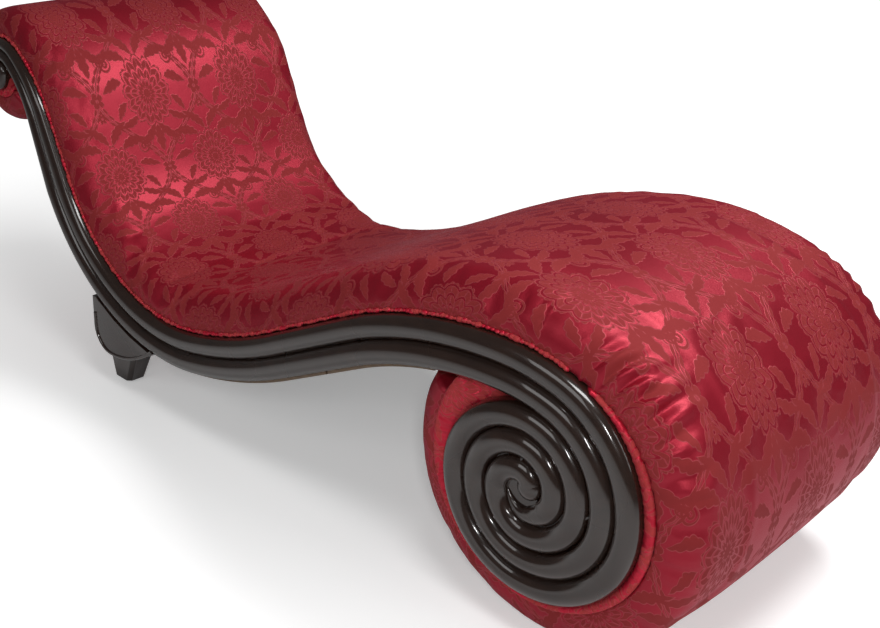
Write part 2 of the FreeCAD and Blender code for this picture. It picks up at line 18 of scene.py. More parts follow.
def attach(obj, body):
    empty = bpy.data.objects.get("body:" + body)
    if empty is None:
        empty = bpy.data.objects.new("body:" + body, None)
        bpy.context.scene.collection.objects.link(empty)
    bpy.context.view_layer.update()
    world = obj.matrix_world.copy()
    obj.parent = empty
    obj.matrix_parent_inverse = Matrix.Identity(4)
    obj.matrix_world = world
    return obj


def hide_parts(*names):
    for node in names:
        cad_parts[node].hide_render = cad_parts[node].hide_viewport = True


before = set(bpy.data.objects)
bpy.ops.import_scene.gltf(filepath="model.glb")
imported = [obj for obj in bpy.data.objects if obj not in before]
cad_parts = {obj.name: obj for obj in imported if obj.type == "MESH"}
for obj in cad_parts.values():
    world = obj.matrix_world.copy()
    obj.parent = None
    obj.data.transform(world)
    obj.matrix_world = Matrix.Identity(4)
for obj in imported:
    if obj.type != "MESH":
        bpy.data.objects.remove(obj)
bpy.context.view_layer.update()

# %% [markdown]
# ## The S line
#
# The real couch is laid out with a few templates: arcs that run into each other without a kink.
# The same arcs are written here in metres, so each piece can be placed by its distance along the
# line and its height over the rail. Working from the line keeps the cloth and the wood together.

# %% Sizes in metres
frame_width = 0.620
rail_thickness = 0.022
bead_rise = 0.014
bead_set_in = 0.0015
bead_roundness = 0.56
crease_angle = math.radians(40)
rail_width = 0.080
head_rail_width = 0.046
drum_rim_radius = 0.186
head_rim_radius = 0.060
pad_crown = 0.070
roll_crown = 0.057
half_width = frame_width / 2
rail_back = half_width - rail_thickness
drum_radius = drum_rim_radius + pad_crown
roll_radius = head_rim_radius + roll_crown
drum_press = 0.0005
floor_drop = drum_radius - drum_press
both_sides = ((-1, "right"), (1, "left"))


def direction(heading):
    """Unit vector along the line, as x and z, for a heading in degrees."""
    angle = np.radians(heading)
    return np.stack([np.cos(angle), np.sin(angle)], -1)


def upward(heading):
    """Unit vector from the line towards the padding."""
    angle = np.radians(heading)
    return np.stack([-np.sin(angle), np.cos(angle)], -1)


class Stretch:
    """An arc or a straight run, walked from head to foot. Points are x and z."""

    def __init__(self, start, heading, radius, turn):
        self.start = np.array(start, float)
        self.heading = heading
        self.radius = radius
        self.turn = turn
        self.side = 1 if turn > 0 else -1
        self.length = radius * math.radians(abs(turn)) if turn else radius
        self.end_heading = heading + turn
        self.centre = self.start + upward(heading) * self.side * radius
        self.end = self.at(np.array([1.0]))[0][0]

    def at(self, share):
        """Points and headings at shares of the stretch."""
        share = np.asarray(share, float)
        heading = self.heading + self.turn * share
        if self.turn == 0:
            return self.start + direction(self.heading) * (share * self.length)[:, None], heading
        return self.centre - upward(heading) * self.side * self.radius, heading

    def part(self, first, last):
        point, heading = self.at(np.array([first]))
        size = self.radius if self.turn else self.length * (last - first)
        return Stretch(point[0], heading[0], size, self.turn * (last - first))


def stretch_before(end, end_heading, radius, turn):
    """The stretch that arrives at a known point and heading."""
    if turn == 0:
        return Stretch(np.array(end) - direction(end_heading) * radius, end_heading, radius, 0)
    side = 1 if turn > 0 else -1
    centre = np.array(end) + upward(end_heading) * side * radius
    return Stretch(centre - upward(end_heading - turn) * side * radius, end_heading - turn, radius, turn)


# %% Walk the line back from the drum
crest_bearing = 65.6
head_bend = 0.098
brow_bend = 0.150
brow_turn = -12.0
roll_turn = -222.0
drum_turn = -271.0
tangent = math.radians(crest_bearing)
point = np.array([math.cos(tangent), math.sin(tangent)]) * drum_rim_radius
heading = crest_bearing - 90
line = {}
for name, radius, turn in (
    ("crest", 0.354, -25.5), ("hump", 0.741, -26.1), ("slope", 0.192, 0), ("rise", 0.876, 15.7),
    ("dip", 0.362, 74.6), ("back", 0.138, 0), ("neck", 0.275, -31.6),
):
    line[name] = stretch_before(point, heading, radius, turn)
    point, heading = line[name].start, line[name].heading
line["head"] = stretch_before(point, heading, head_bend, heading)
line["brow"] = stretch_before(line["head"].start, 0, brow_bend, brow_turn)
roll = stretch_before(line["brow"].start, line["brow"].heading, head_rim_radius, roll_turn)
drum = Stretch(line["crest"].end, line["crest"].end_heading, drum_rim_radius, drum_turn)
drum_centre, roll_centre = drum.centre, roll.centre
middle_x = (roll_centre[0] - roll_radius + drum_centre[0] + drum_radius) / 2
shift = np.array([-middle_x, floor_drop])
tapered = [line[name] for name in ("brow", "head", "neck", "back")]
even = [line[name] for name in ("dip", "rise", "slope", "hump", "crest")]
taper_length = sum(stretch.length for stretch in tapered)
print("drum centre", drum_centre + shift, "roll centre", roll_centre + shift)


def walk(stretches, step):
    """Points, headings and distances along stretches, about a step apart."""
    points, headings, distances = [], [], []
    distance = 0.0
    for number, stretch in enumerate(stretches):
        count = max(2, int(round(stretch.length / step)))
        share = np.linspace(0, 1, count + 1)[0 if number == 0 else 1:]
        place, heading = stretch.at(share)
        points.append(place + shift)
        headings.append(heading)
        distances.append(distance + share * stretch.length)
        distance += stretch.length
    return np.concatenate(points), np.concatenate(headings), np.concatenate(distances)


# %% [markdown]
# ## Turning numbers into meshes
#
# Nearly everything on this couch is a section carried along a line. One helper takes a grid of
# points, ring after ring, and joins them into faces. A second one lifts a section of (across,
# height) pairs off the line. They save a Curve object for each moulding and keep full control
# over the taper and the spirals.

# %% Mesh helpers
def add_object(name, data):
    """An object of this data, put into the scene at the origin."""
    piece = bpy.data.objects.new(name, data)
    bpy.context.scene.collection.objects.link(piece)
    return piece


def new_object(name, vertices, faces, material):
    """A smooth-shaded mesh object with one material."""
    mesh = bpy.data.meshes.new(name)
    mesh.from_pydata([tuple(v) for v in vertices], [], [tuple(f) for f in faces])
    mesh.materials.append(material)
    mesh.update()
    mesh.shade_smooth()
    return add_object(name, mesh)


def grid_faces(rings, around, closed, offset=0):
    """Quads between rings of points, wrapped round where the section is closed."""
    faces = []
    span = around if closed else around - 1
    for ring in range(rings - 1):
        for k in range(span):
            a = offset + ring * around + k
            b = offset + ring * around + (k + 1) % around
            faces.append((a, b, b + around, a + around))
    return faces


def lift(points, headings, section):
    """Rings of 3-D points: a section of (y, height) pairs, one set for each place on the line."""
    above = upward(headings)
    section = np.broadcast_to(section, (len(points),) + section.shape[-2:])
    x = points[:, None, 0] + above[:, None, 0] * section[..., 1]
    z = points[:, None, 1] + above[:, None, 1] * section[..., 1]
    return np.stack([x, section[..., 0], z], -1)


def circle(centre, radius, y, around):
    """A ring of points about a centre in x and z."""
    angle = np.linspace(0, 2 * math.pi, around, endpoint=False)
    x, z = centre[0] + radius * np.cos(angle), centre[1] + radius * np.sin(angle)
    return np.stack([x, np.full(around, y), z], -1)


def outward(piece, flatten=False):
    """Merge doubles, join faces of one plane where asked, and turn every face outwards."""
    work = bmesh.new()
    work.from_mesh(piece.data)
    bmesh.ops.remove_doubles(work, verts=work.verts, dist=0.00002)
    if flatten:
        bmesh.ops.dissolve_limit(work, angle_limit=math.radians(1), verts=work.verts, edges=work.edges)
    bmesh.ops.recalc_face_normals(work, faces=work.faces)
    work.to_mesh(piece.data)
    work.free()


def subdivide(piece):
    """Round the facets off with one level of subdivision."""
    smoother = piece.modifiers.new("smooth", "SUBSURF")
    smoother.levels = smoother.render_levels = 1


def read_places(mesh):
    """The places of a mesh's vertices, one row each."""
    flat = np.zeros(len(mesh.vertices) * 3)
    mesh.vertices.foreach_get("co", flat)
    return flat.reshape(-1, 3)


def write_places(mesh, places):
    mesh.vertices.foreach_set("co", places.ravel())
    mesh.update()


def lay_map(piece, places):
    """A UV map in metres of cloth, from one (along, across) pair for each vertex."""
    uv = piece.data.uv_layers.new(name="cloth")
    loops = np.zeros(len(piece.data.loops), int)
    piece.data.loops.foreach_get("vertex_index", loops)
    uv.data.foreach_set("uv", places.reshape(-1, 2)[loops].ravel().astype(np.float32))


# %% [markdown]
# ## Writing materials as formulas
#
# A damask pattern is a drawing, and a drawing can be a formula of two coordinates. A tiny class
# lets Python's own + - * build Math nodes, so that each leaf of the pattern reads as one line
# of arithmetic. The alternative, hundreds of hand-placed nodes, hides the idea.

# %% Formula nodes
class Formula:
    """A number that a node tree works out. Arithmetic on it adds Math nodes."""

    def __init__(self, tree, socket):
        self.tree = tree
        self.socket = socket

    def _node(self, operation, *others, clamp=False):
        node = self.tree.nodes.new("ShaderNodeMath")
        node.operation = operation
        node.use_clamp = clamp
        for number, value in enumerate((self,) + others):
            if isinstance(value, Formula):
                self.tree.links.new(value.socket, node.inputs[number])
            else:
                node.inputs[number].default_value = value
        return Formula(self.tree, node.outputs[0])

    def __add__(self, other):
        return self._node("ADD", other)

    __radd__ = __add__

    def __sub__(self, other):
        return self._node("SUBTRACT", other)

    def __rsub__(self, other):
        return self._node("MULTIPLY", -1.0) + other

    def __mul__(self, other):
        return self._node("MULTIPLY", other)

    def absolute(self):
        return self._node("ABSOLUTE")

    def sine(self):
        return self._node("SINE")

    def cosine(self):
        return self._node("COSINE")

    def larger(self, other):
        return self._node("MAXIMUM", other)

    def smaller(self, other):
        return self._node("MINIMUM", other)

    def wrap(self, low, high):
        return self._node("WRAP", high, low)

    def root(self):
        return self._node("SQRT")

    def angle_of(self, other):
        return self._node("ARCTAN2", other)

    def soft_step(self, width):
        """0 well below zero, 1 well above, with a soft edge of that width."""
        return (self * (1 / width) + 0.5)._node("ADD", 0.0, clamp=True)


def new_material(name):
    material = bpy.data.materials.new(name)
    material.use_nodes = True
    tree = material.node_tree
    shader = tree.nodes["Principled BSDF"]
    return material, tree, shader


def noise(tree, scale, detail=3.0, coordinates=None, stretch=(1, 1, 1)):
    """A noise texture on the object's own coordinates, or on others."""
    if coordinates is None:
        coordinates = tree.nodes.new("ShaderNodeTexCoord").outputs["Object"]
    mapping = tree.nodes.new("ShaderNodeMapping")
    mapping.inputs["Scale"].default_value = stretch
    tree.links.new(coordinates, mapping.inputs["Vector"])
    texture = tree.nodes.new("ShaderNodeTexNoise")
    texture.inputs["Scale"].default_value = scale
    texture.inputs["Detail"].default_value = detail
    tree.links.new(mapping.outputs["Vector"], texture.inputs["Vector"])
    return Formula(tree, texture.outputs["Fac"])


def split_vector(tree, socket):
    """The three numbers of a vector, as formulas."""
    split = tree.nodes.new("ShaderNodeSeparateXYZ")
    tree.links.new(socket, split.inputs[0])
    return [Formula(tree, output) for output in split.outputs]


def blend_colour(tree, amount, low, high):
    """A colour between two others, each a tuple or a socket, by a formula."""
    mix = tree.nodes.new("ShaderNodeMix")
    mix.data_type = "RGBA"
    for name, value in (("A", low), ("B", high)):
        if isinstance(value, tuple):
            mix.inputs[name].default_value = (*value, 1)
        else:
            tree.links.new(value, mix.inputs[name])
    tree.links.new(amount.socket, mix.inputs["Factor"])
    return mix.outputs["Result"]


def add_bump(tree, shader, height, distance, strength=1.0):
    bump = tree.nodes.new("ShaderNodeBump")
    bump.inputs["Distance"].default_value = distance
    bump.inputs["Strength"].default_value = strength
    tree.links.new(height.socket, bump.inputs["Height"])
    tree.links.new(bump.outputs["Normal"], shader.inputs["Normal"])

def plain_finish(name, low, high, cloud, roughness, metallic=0.0, stretch=(1, 1, 1)):
    """A finish whose colour and roughness follow one noise. cloud holds the noise's scale and
    detail, and roughness how far it swings and where it starts."""
    material, tree, shader = new_material(name)
    patch = noise(tree, *cloud, stretch=stretch)
    swing, start = roughness
    tree.links.new(blend_colour(tree, patch, low, high), shader.inputs["Base Color"])
    tree.links.new((patch * swing + start).socket, shader.inputs["Roughness"])
    shader.inputs["Metallic"].default_value = metallic
    return material


# %% [markdown]
# ## Lacquered wood
#
# The show wood is stained nearly black and finished with gloss lacquer. Broad pale reflections
# lie on the beads, with small sharp ones in the spiral. A dark base under a clear coat gives
# both, and faint long grain keeps the base from looking like plastic.

# %% Lacquer
def make_lacquer():
    material, tree, shader = new_material("lacquered wood")
    grain = noise(tree, 22, 6, stretch=(1.0, 1.0, 3.0))
    rubbed = noise(tree, 5, 2)
    colour = blend_colour(tree, grain, (0.008, 0.0035, 0.0025), (0.030, 0.014, 0.009))
    tree.links.new(colour, shader.inputs["Base Color"])
    tree.links.new((rubbed * 0.10 + 0.22).socket, shader.inputs["Roughness"])
    shader.inputs["Coat Weight"].default_value = 1.0
    shader.inputs["Coat Roughness"].default_value = 0.07
    shader.inputs["Specular IOR Level"].default_value = 0.25
    add_bump(tree, shader, grain + noise(tree, 160, 3, stretch=(1, 1, 3)) * 0.4, 0.0004, 0.35)
    return material


lacquer = make_lacquer()
print("lacquer ready")

# %% [markdown]
# ## Satin damask
#
# Damask is woven in one colour. The pattern shows because its threads lie the other way and
# catch the light differently: the ground is smooth satin, and the leaves are duller. So the
# pattern mostly steers roughness and gloss here, and colour only a little. It is an old pattern
# type, with an acanthus medallion inside a wavy vine, repeated with a half drop. All of it is
# drawn in the cloth's own coordinates, in metres, so it stays on the cloth.

# %% The damask drawing
tile_across = 0.232
tile_along = 0.318
motif_scale = 1.10


def leaf(x, y, base, turn, length, width, bend=0.0, teeth=0):
    """How far inside a pointed leaf a place is: positive inside, in metres."""
    angle = math.radians(turn)
    dx, dy = x - base[0], y - base[1]
    t = (dx * math.cos(angle) + dy * math.sin(angle)) * (1 / length)
    d = dy * math.cos(angle) - dx * math.sin(angle)
    if bend:
        d = d - t * t * bend
    edge = t * (1 - t) * (4 * width)
    if teeth:
        edge = edge * ((t * (teeth * math.pi)).sine().absolute() * 0.32 + 0.74)
    return edge - d.absolute()


def blossom(x, y, centre, size, petals):
    """A small flower with a round eye."""
    dx, dy = x - centre[0], y - centre[1]
    r = (dx * dx + dy * dy).root()
    wave = (dy.angle_of(dx) * (petals / 2)).cosine().absolute() * (0.5 * size) + 0.5 * size
    return (wave - r).smaller(r - 0.2 * size)


def scroll(x, y, centre, size, turn):
    """A hook that winds in on itself."""
    dx, dy = x - centre[0], y - centre[1]
    r = (dx * dx + dy * dy).root()
    wind = (dy.angle_of(dx) * turn + r * (11.0 / size)).sine()
    return (wind * (0.2 * size)).smaller(size - r)


def medallion(x, y):
    """The large motif, drawn for one half and mirrored: a full flower with layered petals,
    a plume above it and curling acanthus leaves below and beside it."""
    x, y = x * (1 / motif_scale), y * (1 / motif_scale)
    dx = x * 1.28
    r = (dx * dx + y * y).root()
    turn = dx.angle_of(y)
    lobes = (turn * 6.5).sine().absolute()
    serrated = (turn * 21.0).sine().absolute()
    outline = 0.052 + lobes * 0.009 + serrated * 0.0035 - r
    layer = r * 62.0 - lobes * 0.62
    gap = layer.wrap(-0.5, 0.5).absolute() * 0.0161 - 0.0022
    spoke = (turn * 13.0).sine().absolute() * r * 0.11 - 0.0008
    flower = outline.smaller(gap).smaller(spoke.larger(0.020 - r))
    shape = flower.larger(0.0085 - r)
    leaves = [
        leaf(x, y, (0.000, 0.058), 90, 0.052, 0.010, 0.0, 4),
        leaf(x, y, (0.004, 0.056), 62, 0.050, 0.009, -0.016, 4),
        leaf(x, y, (0.034, 0.036), 50, 0.042, 0.008, -0.018, 4),
        leaf(x, y, (0.048, 0.010), 30, 0.036, 0.008, 0.016, 4),
        leaf(x, y, (0.046, -0.022), -12, 0.040, 0.009, 0.020, 4),
        leaf(x, y, (0.022, -0.054), -38, 0.052, 0.010, 0.026, 5),
        leaf(x, y, (0.004, -0.062), -66, 0.052, 0.009, 0.020, 5),
    ]
    for other in leaves:
        shape = shape.larger(other)
    shape = shape.larger(scroll(x, y, (0.030, 0.088), 0.011, 1.0))
    shape = shape.larger(scroll(x, y, (0.066, -0.052), 0.012, -1.0))
    return shape.larger(blossom(x, y, (0.0, -0.112), 0.010, 6)) * motif_scale


def vine(x, y):
    """The wavy stem round each medallion, with rows of small oval leaves and star flowers."""
    along = y * (2 * math.pi / tile_along)
    off = x.absolute() - (along.cosine() * (tile_across / 4) + tile_across / 4)
    stem = 0.0011 - off.absolute()
    row = (along * 11.0).sine().absolute() * 0.0040 + 0.0002
    leaflets = row - (off.absolute() - 0.0058).absolute() * 1.2
    shape = stem.larger(leaflets)
    shape = shape.larger(blossom(x, y.absolute(), (0.0, tile_along / 2), 0.016, 5))
    return shape.larger(blossom(x.absolute(), y, (tile_across / 2, 0.0), 0.016, 5))


def damask_drawing(across, along):
    """Positive on the motifs and negative on the ground, in metres."""
    shape = None
    for drop in (0.0, 0.5):
        x = (across + drop * tile_across).wrap(-tile_across / 2, tile_across / 2).absolute()
        y = (along + drop * tile_along).wrap(-tile_along / 2, tile_along / 2)
        motif = medallion(x, y)
        shape = motif if shape is None else shape.larger(motif)
    x = across.wrap(-tile_across / 2, tile_across / 2)
    y = along.wrap(-tile_along / 2, tile_along / 2)
    return shape.larger(vine(x, y))


# %% The damask cloth
def make_damask(name, coordinates="UV", light=1.0):
    """Satin with duller motifs. A light above 1 paints every colour brighter, to make up for the shade a
    cloth lies in.
    """
    material, tree, shader = new_material(name)
    source = tree.nodes.new("ShaderNodeTexCoord").outputs[coordinates]
    wobble = tree.nodes.new("ShaderNodeTexNoise")
    wobble.inputs["Scale"].default_value = 16
    tree.links.new(source, wobble.inputs["Vector"])
    place = split_vector(tree, source)
    push = split_vector(tree, wobble.outputs["Color"])
    drift = 0.005
    along = place[0] + (push[0] - 0.5) * drift
    across = place[1 if coordinates == "UV" else 2] + (push[1] - 0.5) * drift
    shape = damask_drawing(across, along)
    motif = shape.soft_step(0.0012)
    rim = 1.0 - (shape.absolute() * 900).smaller(1.0)
    cloud = noise(tree, 7, 2, source)

    # Painted light: each colour is multiplied by light, so a cloth in shade is painted brighter.
    def lit(*colour):
        return tuple(channel * light for channel in colour)

    ground = blend_colour(tree, cloud, lit(0.22, 0.003, 0.010), lit(0.36, 0.009, 0.026))
    figure = blend_colour(tree, cloud, lit(0.20, 0.016, 0.018), lit(0.28, 0.034, 0.034))
    colour = blend_colour(tree, motif, ground, figure)
    colour = blend_colour(tree, rim * 0.32, colour, (0.50, 0.12, 0.13))
    tree.links.new(colour, shader.inputs["Base Color"])
    tree.links.new((motif * 0.30 + 0.42).socket, shader.inputs["Roughness"])
    tree.links.new((1.0 - motif * 0.8).socket, shader.inputs["Specular IOR Level"])
    tree.links.new((0.46 - motif * 0.40).socket, shader.inputs["Metallic"])
    shader.inputs["Specular Tint"].default_value = (1.0, 0.40, 0.48, 1)
    shader.inputs["Sheen Weight"].default_value = 0.06
    shader.inputs["Sheen Roughness"].default_value = 0.35
    shader.inputs["Sheen Tint"].default_value = (1.0, 0.30, 0.42, 1)
    threads = noise(tree, 900, 1, source, (1.0, 4.0, 1.0))
    crumple = noise(tree, 60, 2, source)
    relief = motif * 0.8 + rim * 0.35 + threads * 0.25 + crumple * 0.5
    add_bump(tree, shader, relief, 0.0006, 0.5)
    return material


damask = make_damask("satin damask")
print("damask nodes", len(damask.node_tree.nodes))

# %% [markdown]
# ## The carved double bead
#
# The show rail is the finest work on the couch. A carver would run the two beads with a scratch
# stock, then cut the volute by hand so the beads stay even as they coil. Each bead is one
# half-round strand here, carried along the S and on into the spiral. Two strands side by side
# leave the crisp groove that catches the light. Quarter arcs whose radius drops by a quarter of
# the rail's width draw the spiral, which is the way a joiner draws a volute with compasses.

# %% Spiral templates
spiral_heading = -15.0
foot_winding = 0.1994
foot_smallest = 0.039
head_smallest = 0.022
foot_lead = (spiral_heading - line["crest"].end_heading) / abs(line["crest"].turn)
foot_crest = line["crest"].part(0, 1 - foot_lead)
foot_quarters = []
point, heading = foot_crest.end, foot_crest.end_heading
radius, turn = foot_winding, 90 + spiral_heading
while radius > foot_smallest:
    foot_quarters.append(Stretch(point, heading, radius, -turn))
    point, heading = foot_quarters[-1].end, foot_quarters[-1].end_heading
    radius, turn = radius - rail_width / 4, 90.0
head_quarters = []
point, heading = line["brow"].start, line["brow"].heading
radius, turn = head_rim_radius, 90 - line["brow"].heading
while radius > head_smallest:
    head_quarters.insert(0, stretch_before(point, heading, radius, -turn))
    point, heading = head_quarters[0].start, head_quarters[0].heading
    radius, turn = radius - head_rail_width / 4, 90.0
whole_rail = head_quarters + tapered + even[:4] + [foot_crest] + foot_quarters
head_spiral_length = sum(stretch.length for stretch in head_quarters)
full_length = sum(stretch.length for stretch in whole_rail)
print("show rail length", round(full_length, 3), "quarters", len(head_quarters), len(foot_quarters))


def rail_width_along(distance):
    """Width of the rail, which grows from the head spiral to the end of the back."""
    share = np.clip((distance - head_spiral_length) / taper_length, 0, 1)
    return head_rail_width + (rail_width - head_rail_width) * share


# %% Half-round strands
def strand_section(high, low, rise, side, steps=14):
    """Outline of one bead: a half-round front on a thin flat back, for each place on the line."""
    rows = []
    for step in range(steps + 1):
        u = -1 + 2 * step / steps
        height = (high + low) / 2 - u * (high - low) / 2
        stand = half_width - bead_set_in + (rise + bead_set_in) * (1 - u * u) ** bead_roundness
        rows.append(np.stack([side * stand, height], -1))
    for height in (low, high):
        rows.append(np.stack([np.full_like(high, side * rail_back), height], -1))
    return np.stack(rows, 1)


def strand(stretches, side, first, last, start_distance=0.0, tail=0.0):
    """One bead as rings of points. first and last are its edges as shares of the rail's width."""
    points, headings, distances = walk(stretches, 0.004)
    width = rail_width_along(distances + start_distance)
    if tail:
        # The inner bead ends by running to a point under the outer one.
        left = np.clip((distances[-1] - distances) / tail, 0, 1) ** 0.75
        last = first + (last - first) * (0.06 + 0.94 * left)
    high, low = -width * first, -width * last
    rise = bead_rise * (high - low) / (rail_width / 2)
    return lift(points, headings, strand_section(high, low, rise, side))


def strands_mesh(name, sets, material, crisp=True):
    """One object from several strands, each closed at its ends, with sharp creases if crisp."""
    vertices, faces = [], []
    for rings in sets:
        offset = len(vertices)
        count, around = rings.shape[:2]
        vertices.extend(rings.reshape(-1, 3))
        faces.extend(grid_faces(count, around, True, offset))
        faces.append(tuple(range(offset, offset + around)))
        faces.append(tuple(range(offset + (count - 1) * around, offset + count * around)))
    piece = new_object(name, vertices, faces, material)
    outward(piece)
    if crisp:
        piece.data.set_sharp_from_angle(angle=crease_angle)
    return piece


def dome(centre, radius, rise, side, rings=9, around=40):
    """The rounded boss in the eye of a spiral, as rings that close on its middle."""
    out = [circle(centre, radius, side * rail_back, around)]
    for step in range(rings):
        tilt = math.radians(90 * step / (rings - 1))
        tapered_radius = max(radius * math.cos(tilt), 0.0002)
        out.append(circle(centre, tapered_radius, side * (half_width + rise * math.sin(tilt)), around))
    return np.stack(out)


def spiral_eye(quarter, share, inset):
    """The middle of a spiral's boss, set in from an end of the smallest quarter."""
    place, heading = quarter.at(np.array([share]))
    return place[0] - upward(heading)[0] * inset + shift


foot_eye = spiral_eye(foot_quarters[-1], 1.0, 0.020)
head_eye = spiral_eye(head_quarters[0], 0.0, 0.0115)
inner_path = head_quarters[2:] + tapered + even[:4] + [foot_crest] + foot_quarters[:7]
skipped = sum(stretch.length for stretch in head_quarters[:2])
show_rails = {}
for side, word in both_sides:
    outer = strand(whole_rail, side, 0.0, 0.5)
    inner = strand(inner_path, side, 0.5, 1.0, skipped, tail=0.20)
    bosses = [dome(foot_eye, 0.0205, 0.014, side), dome(head_eye, 0.012, 0.008, side)]
    show_rails[word] = strands_mesh(word + "_show_rail", [outer, inner] + bosses, lacquer)
    print(word, "show rail faces", len(show_rails[word].data.polygons))

# %% [markdown]
# ## Backing behind the spirals
#
# Between the windings the eye meets dark wood, so a thin ground sits behind each spiral. It
# is a shallow dish with a turned edge. Without it the padding would show through the grooves.

# %% Spiral grounds
def ground_disc(name, centre, radius, side, around=96):
    """A lathe-like disc with a softened edge, just behind the beads."""
    middle, front = 0.0004, half_width - 0.001
    profile = [
        (middle, rail_back), (radius - 0.001, rail_back), (radius, rail_back + 0.002),
        (radius, half_width - 0.004), (radius - 0.003, front), (middle, front),
    ]
    rings = np.stack([circle(centre, r, side * y, around) for r, y in profile])
    piece = new_object(name, rings.reshape(-1, 3), grid_faces(len(rings), around, True), lacquer)
    outward(piece)
    piece.data.set_sharp_from_angle(angle=crease_angle)
    return piece


foot_core, head_core = foot_quarters[6].centre + shift, head_quarters[0].centre + shift
grounds = {}
for side, word in both_sides:
    for end, core, radius in (("foot", foot_core, 0.078), ("head", head_core, 0.024)):
        name = word + "_" + end + "_ground"
        grounds[name] = ground_disc(name, core, radius, side)
print("grounds", sorted(grounds))

# %% [markdown]
# ## The pale lower edge: a painted reflection
#
# The rail's underside faces the bright floor, and the floor's reflection there is painted as a thin
# strip of paler brown. A second material on the rail could show it, but a strip of its own
# follows the line evenly and has the fine joint that two lengths of wood leave.

# %% Pale underside strip, a painted reflection
def edge_strip(name, side, material):
    """A strip below the lower bead in two lengths, with a fine joint between them."""
    lower = [line["dip"].part(0.80, 1), line["rise"], line["slope"], line["hump"].part(0, 0.55)]
    places, headings, spots = walk(lower, 0.005)
    outline = np.array([(y * side, h) for y, h in (
        (rail_back + 0.001, -0.0790), (rail_back + 0.001, -0.0850), (rail_back + 0.0025, -0.0862),
        (half_width - 0.0095, -0.0862), (half_width - 0.0080, -0.0850), (half_width - 0.0080, -0.0790))])
    joint = 0.62 * spots[-1]
    half_joint = 0.0006
    halves = [spots < joint - half_joint, spots > joint + half_joint]
    return strands_mesh(name, [lift(places[half], headings[half], outline) for half in halves], material)


# Paler brown that stands in for the floor's reflection on the rail's underside: a painted reflection.
underside_reflection_paint = plain_finish(
    "painted underside reflection", (0.085, 0.048, 0.026), (0.24, 0.16, 0.095), (40, 6), (0.2, 0.5),
    stretch=(1.0, 1.0, 4.0))
edge_strips = {word: edge_strip(word + "_edge_strip", side, underside_reflection_paint) for side, word in both_sides}
print("edge strips", sorted(edge_strips))

# %% [markdown]
# ## The padding
#
# One continuous length of damask covers the head roll, the back, the seat, the hump and the
# drum, so it is one surface here as well. A grid follows the S, with its crown and its rounded
# shoulders. Its UV map is measured in metres of cloth, which keeps the woven pattern at its true
# scale. The tucks at the drum are laid in first, as an upholsterer does by hand. The cloth
# solver then tightens the grid under light pressure. The edges and the tucks are pinned, and no
# point moves further than a few millimetres.

# %% The crowned grid
pad_step = 0.0085
tuck_step = 0.0027
tucked_share = 0.32
pad_path = [roll, line["brow"], line["head"], line["neck"], line["back"]] + even + [drum]
points, headings, distances = walk(pad_path[:-2], pad_step)
tucked = [line["crest"], drum.part(0, tucked_share)]
for stretches, step in ((tucked, tuck_step), ([drum.part(tucked_share, 1)], pad_step)):
    more = walk(stretches, step)
    points = np.concatenate([points, more[0][1:]])
    headings = np.concatenate([headings, more[1][1:]])
    distances = np.concatenate([distances, more[2][1:] + distances[-1]])
roll_length = roll.length
grown = np.clip((distances - roll_length) / (line["brow"].length + line["head"].length), 0, 1)
drum_start = distances[-1] - drum.length
pad_edge = half_width - 0.004


def pad_section(fullness, steps_side=15, steps_top=24):
    """Half outline of the pad from the rail to the middle, mirrored to both sides."""
    crown = roll_crown + (pad_crown - roll_crown) * fullness
    shoulder = 0.053 + 0.013 * fullness
    radius = 0.052 * shoulder / 0.066
    centre_y, centre_h = pad_edge - radius, shoulder - radius
    low = -np.arcsin(np.clip(centre_h / radius, -1, 1))
    high = math.pi / 2 - np.arctan2(2 * (crown - shoulder), centre_y)
    rows = []
    for step in range(steps_side):
        angle = low + (high - low) * step / (steps_side - 1)
        rows.append(np.stack([centre_y + radius * np.cos(angle), centre_h + radius * np.sin(angle)], -1))
    edge_y, edge_h = rows[-1][:, 0], rows[-1][:, 1]
    for step in range(1, steps_top + 1):
        share = step / steps_top
        y = edge_y * (1 - share)
        rows.append(np.stack([y, edge_h + (crown - edge_h) * (1 - (1 - share) ** 2)], -1))
    half = np.stack(rows, 1)
    mirrored = half[:, :-1][:, ::-1] * np.array([-1, 1])
    return np.concatenate([half, mirrored], 1)


section = pad_section(grown)
count, around = section.shape[:2]
under_points = 9
under = np.stack([np.linspace(-0.97, 0.97, under_points) * pad_edge, np.full(under_points, 0.001)], -1)
under = np.broadcast_to(under, (count, under_points, 2))
step_lengths = np.linalg.norm(np.diff(section, axis=1), axis=2)
girth = np.concatenate([np.zeros((count, 1)), np.cumsum(step_lengths, 1)], 1)
girth = girth - girth[:, around // 2][:, None]
print("pad grid", count, "by", around, "length", round(distances[-1], 3))

# %% Folds laid in one by one
def wave(value, seed):
    """A smooth irregular wave made of three sines."""
    first = np.sin(value + seed)
    second = 0.6 * np.sin(1.73 * value + 2.1 * seed)
    third = 0.4 * np.sin(2.91 * value + 0.7 * seed)
    return (first + second + third) / 2


height = section[..., 1]
side_sign = np.where(section[..., 0] > 0, 1.0, -1.0)
along = np.broadcast_to(distances[:, None], height.shape)
from_edge = np.minimum(girth - girth[:, :1], girth[:, -1:] - girth)
drum_begins = np.clip((along - drum_start + 0.06) / 0.10, 0, 1)
drum_ends = np.clip((distances[-1] + 0.02 - along) / 0.1, 0, 1)
on_drum = drum_begins * drum_ends
on_roll = np.clip((roll_length + 0.02 - along) / 0.06, 0, 1)
curl = np.maximum(on_drum, on_roll)
pleats = wave(along * 300 + 3.0 * wave(along * 40, 1.0), side_sign) * np.exp(-from_edge / 0.030)
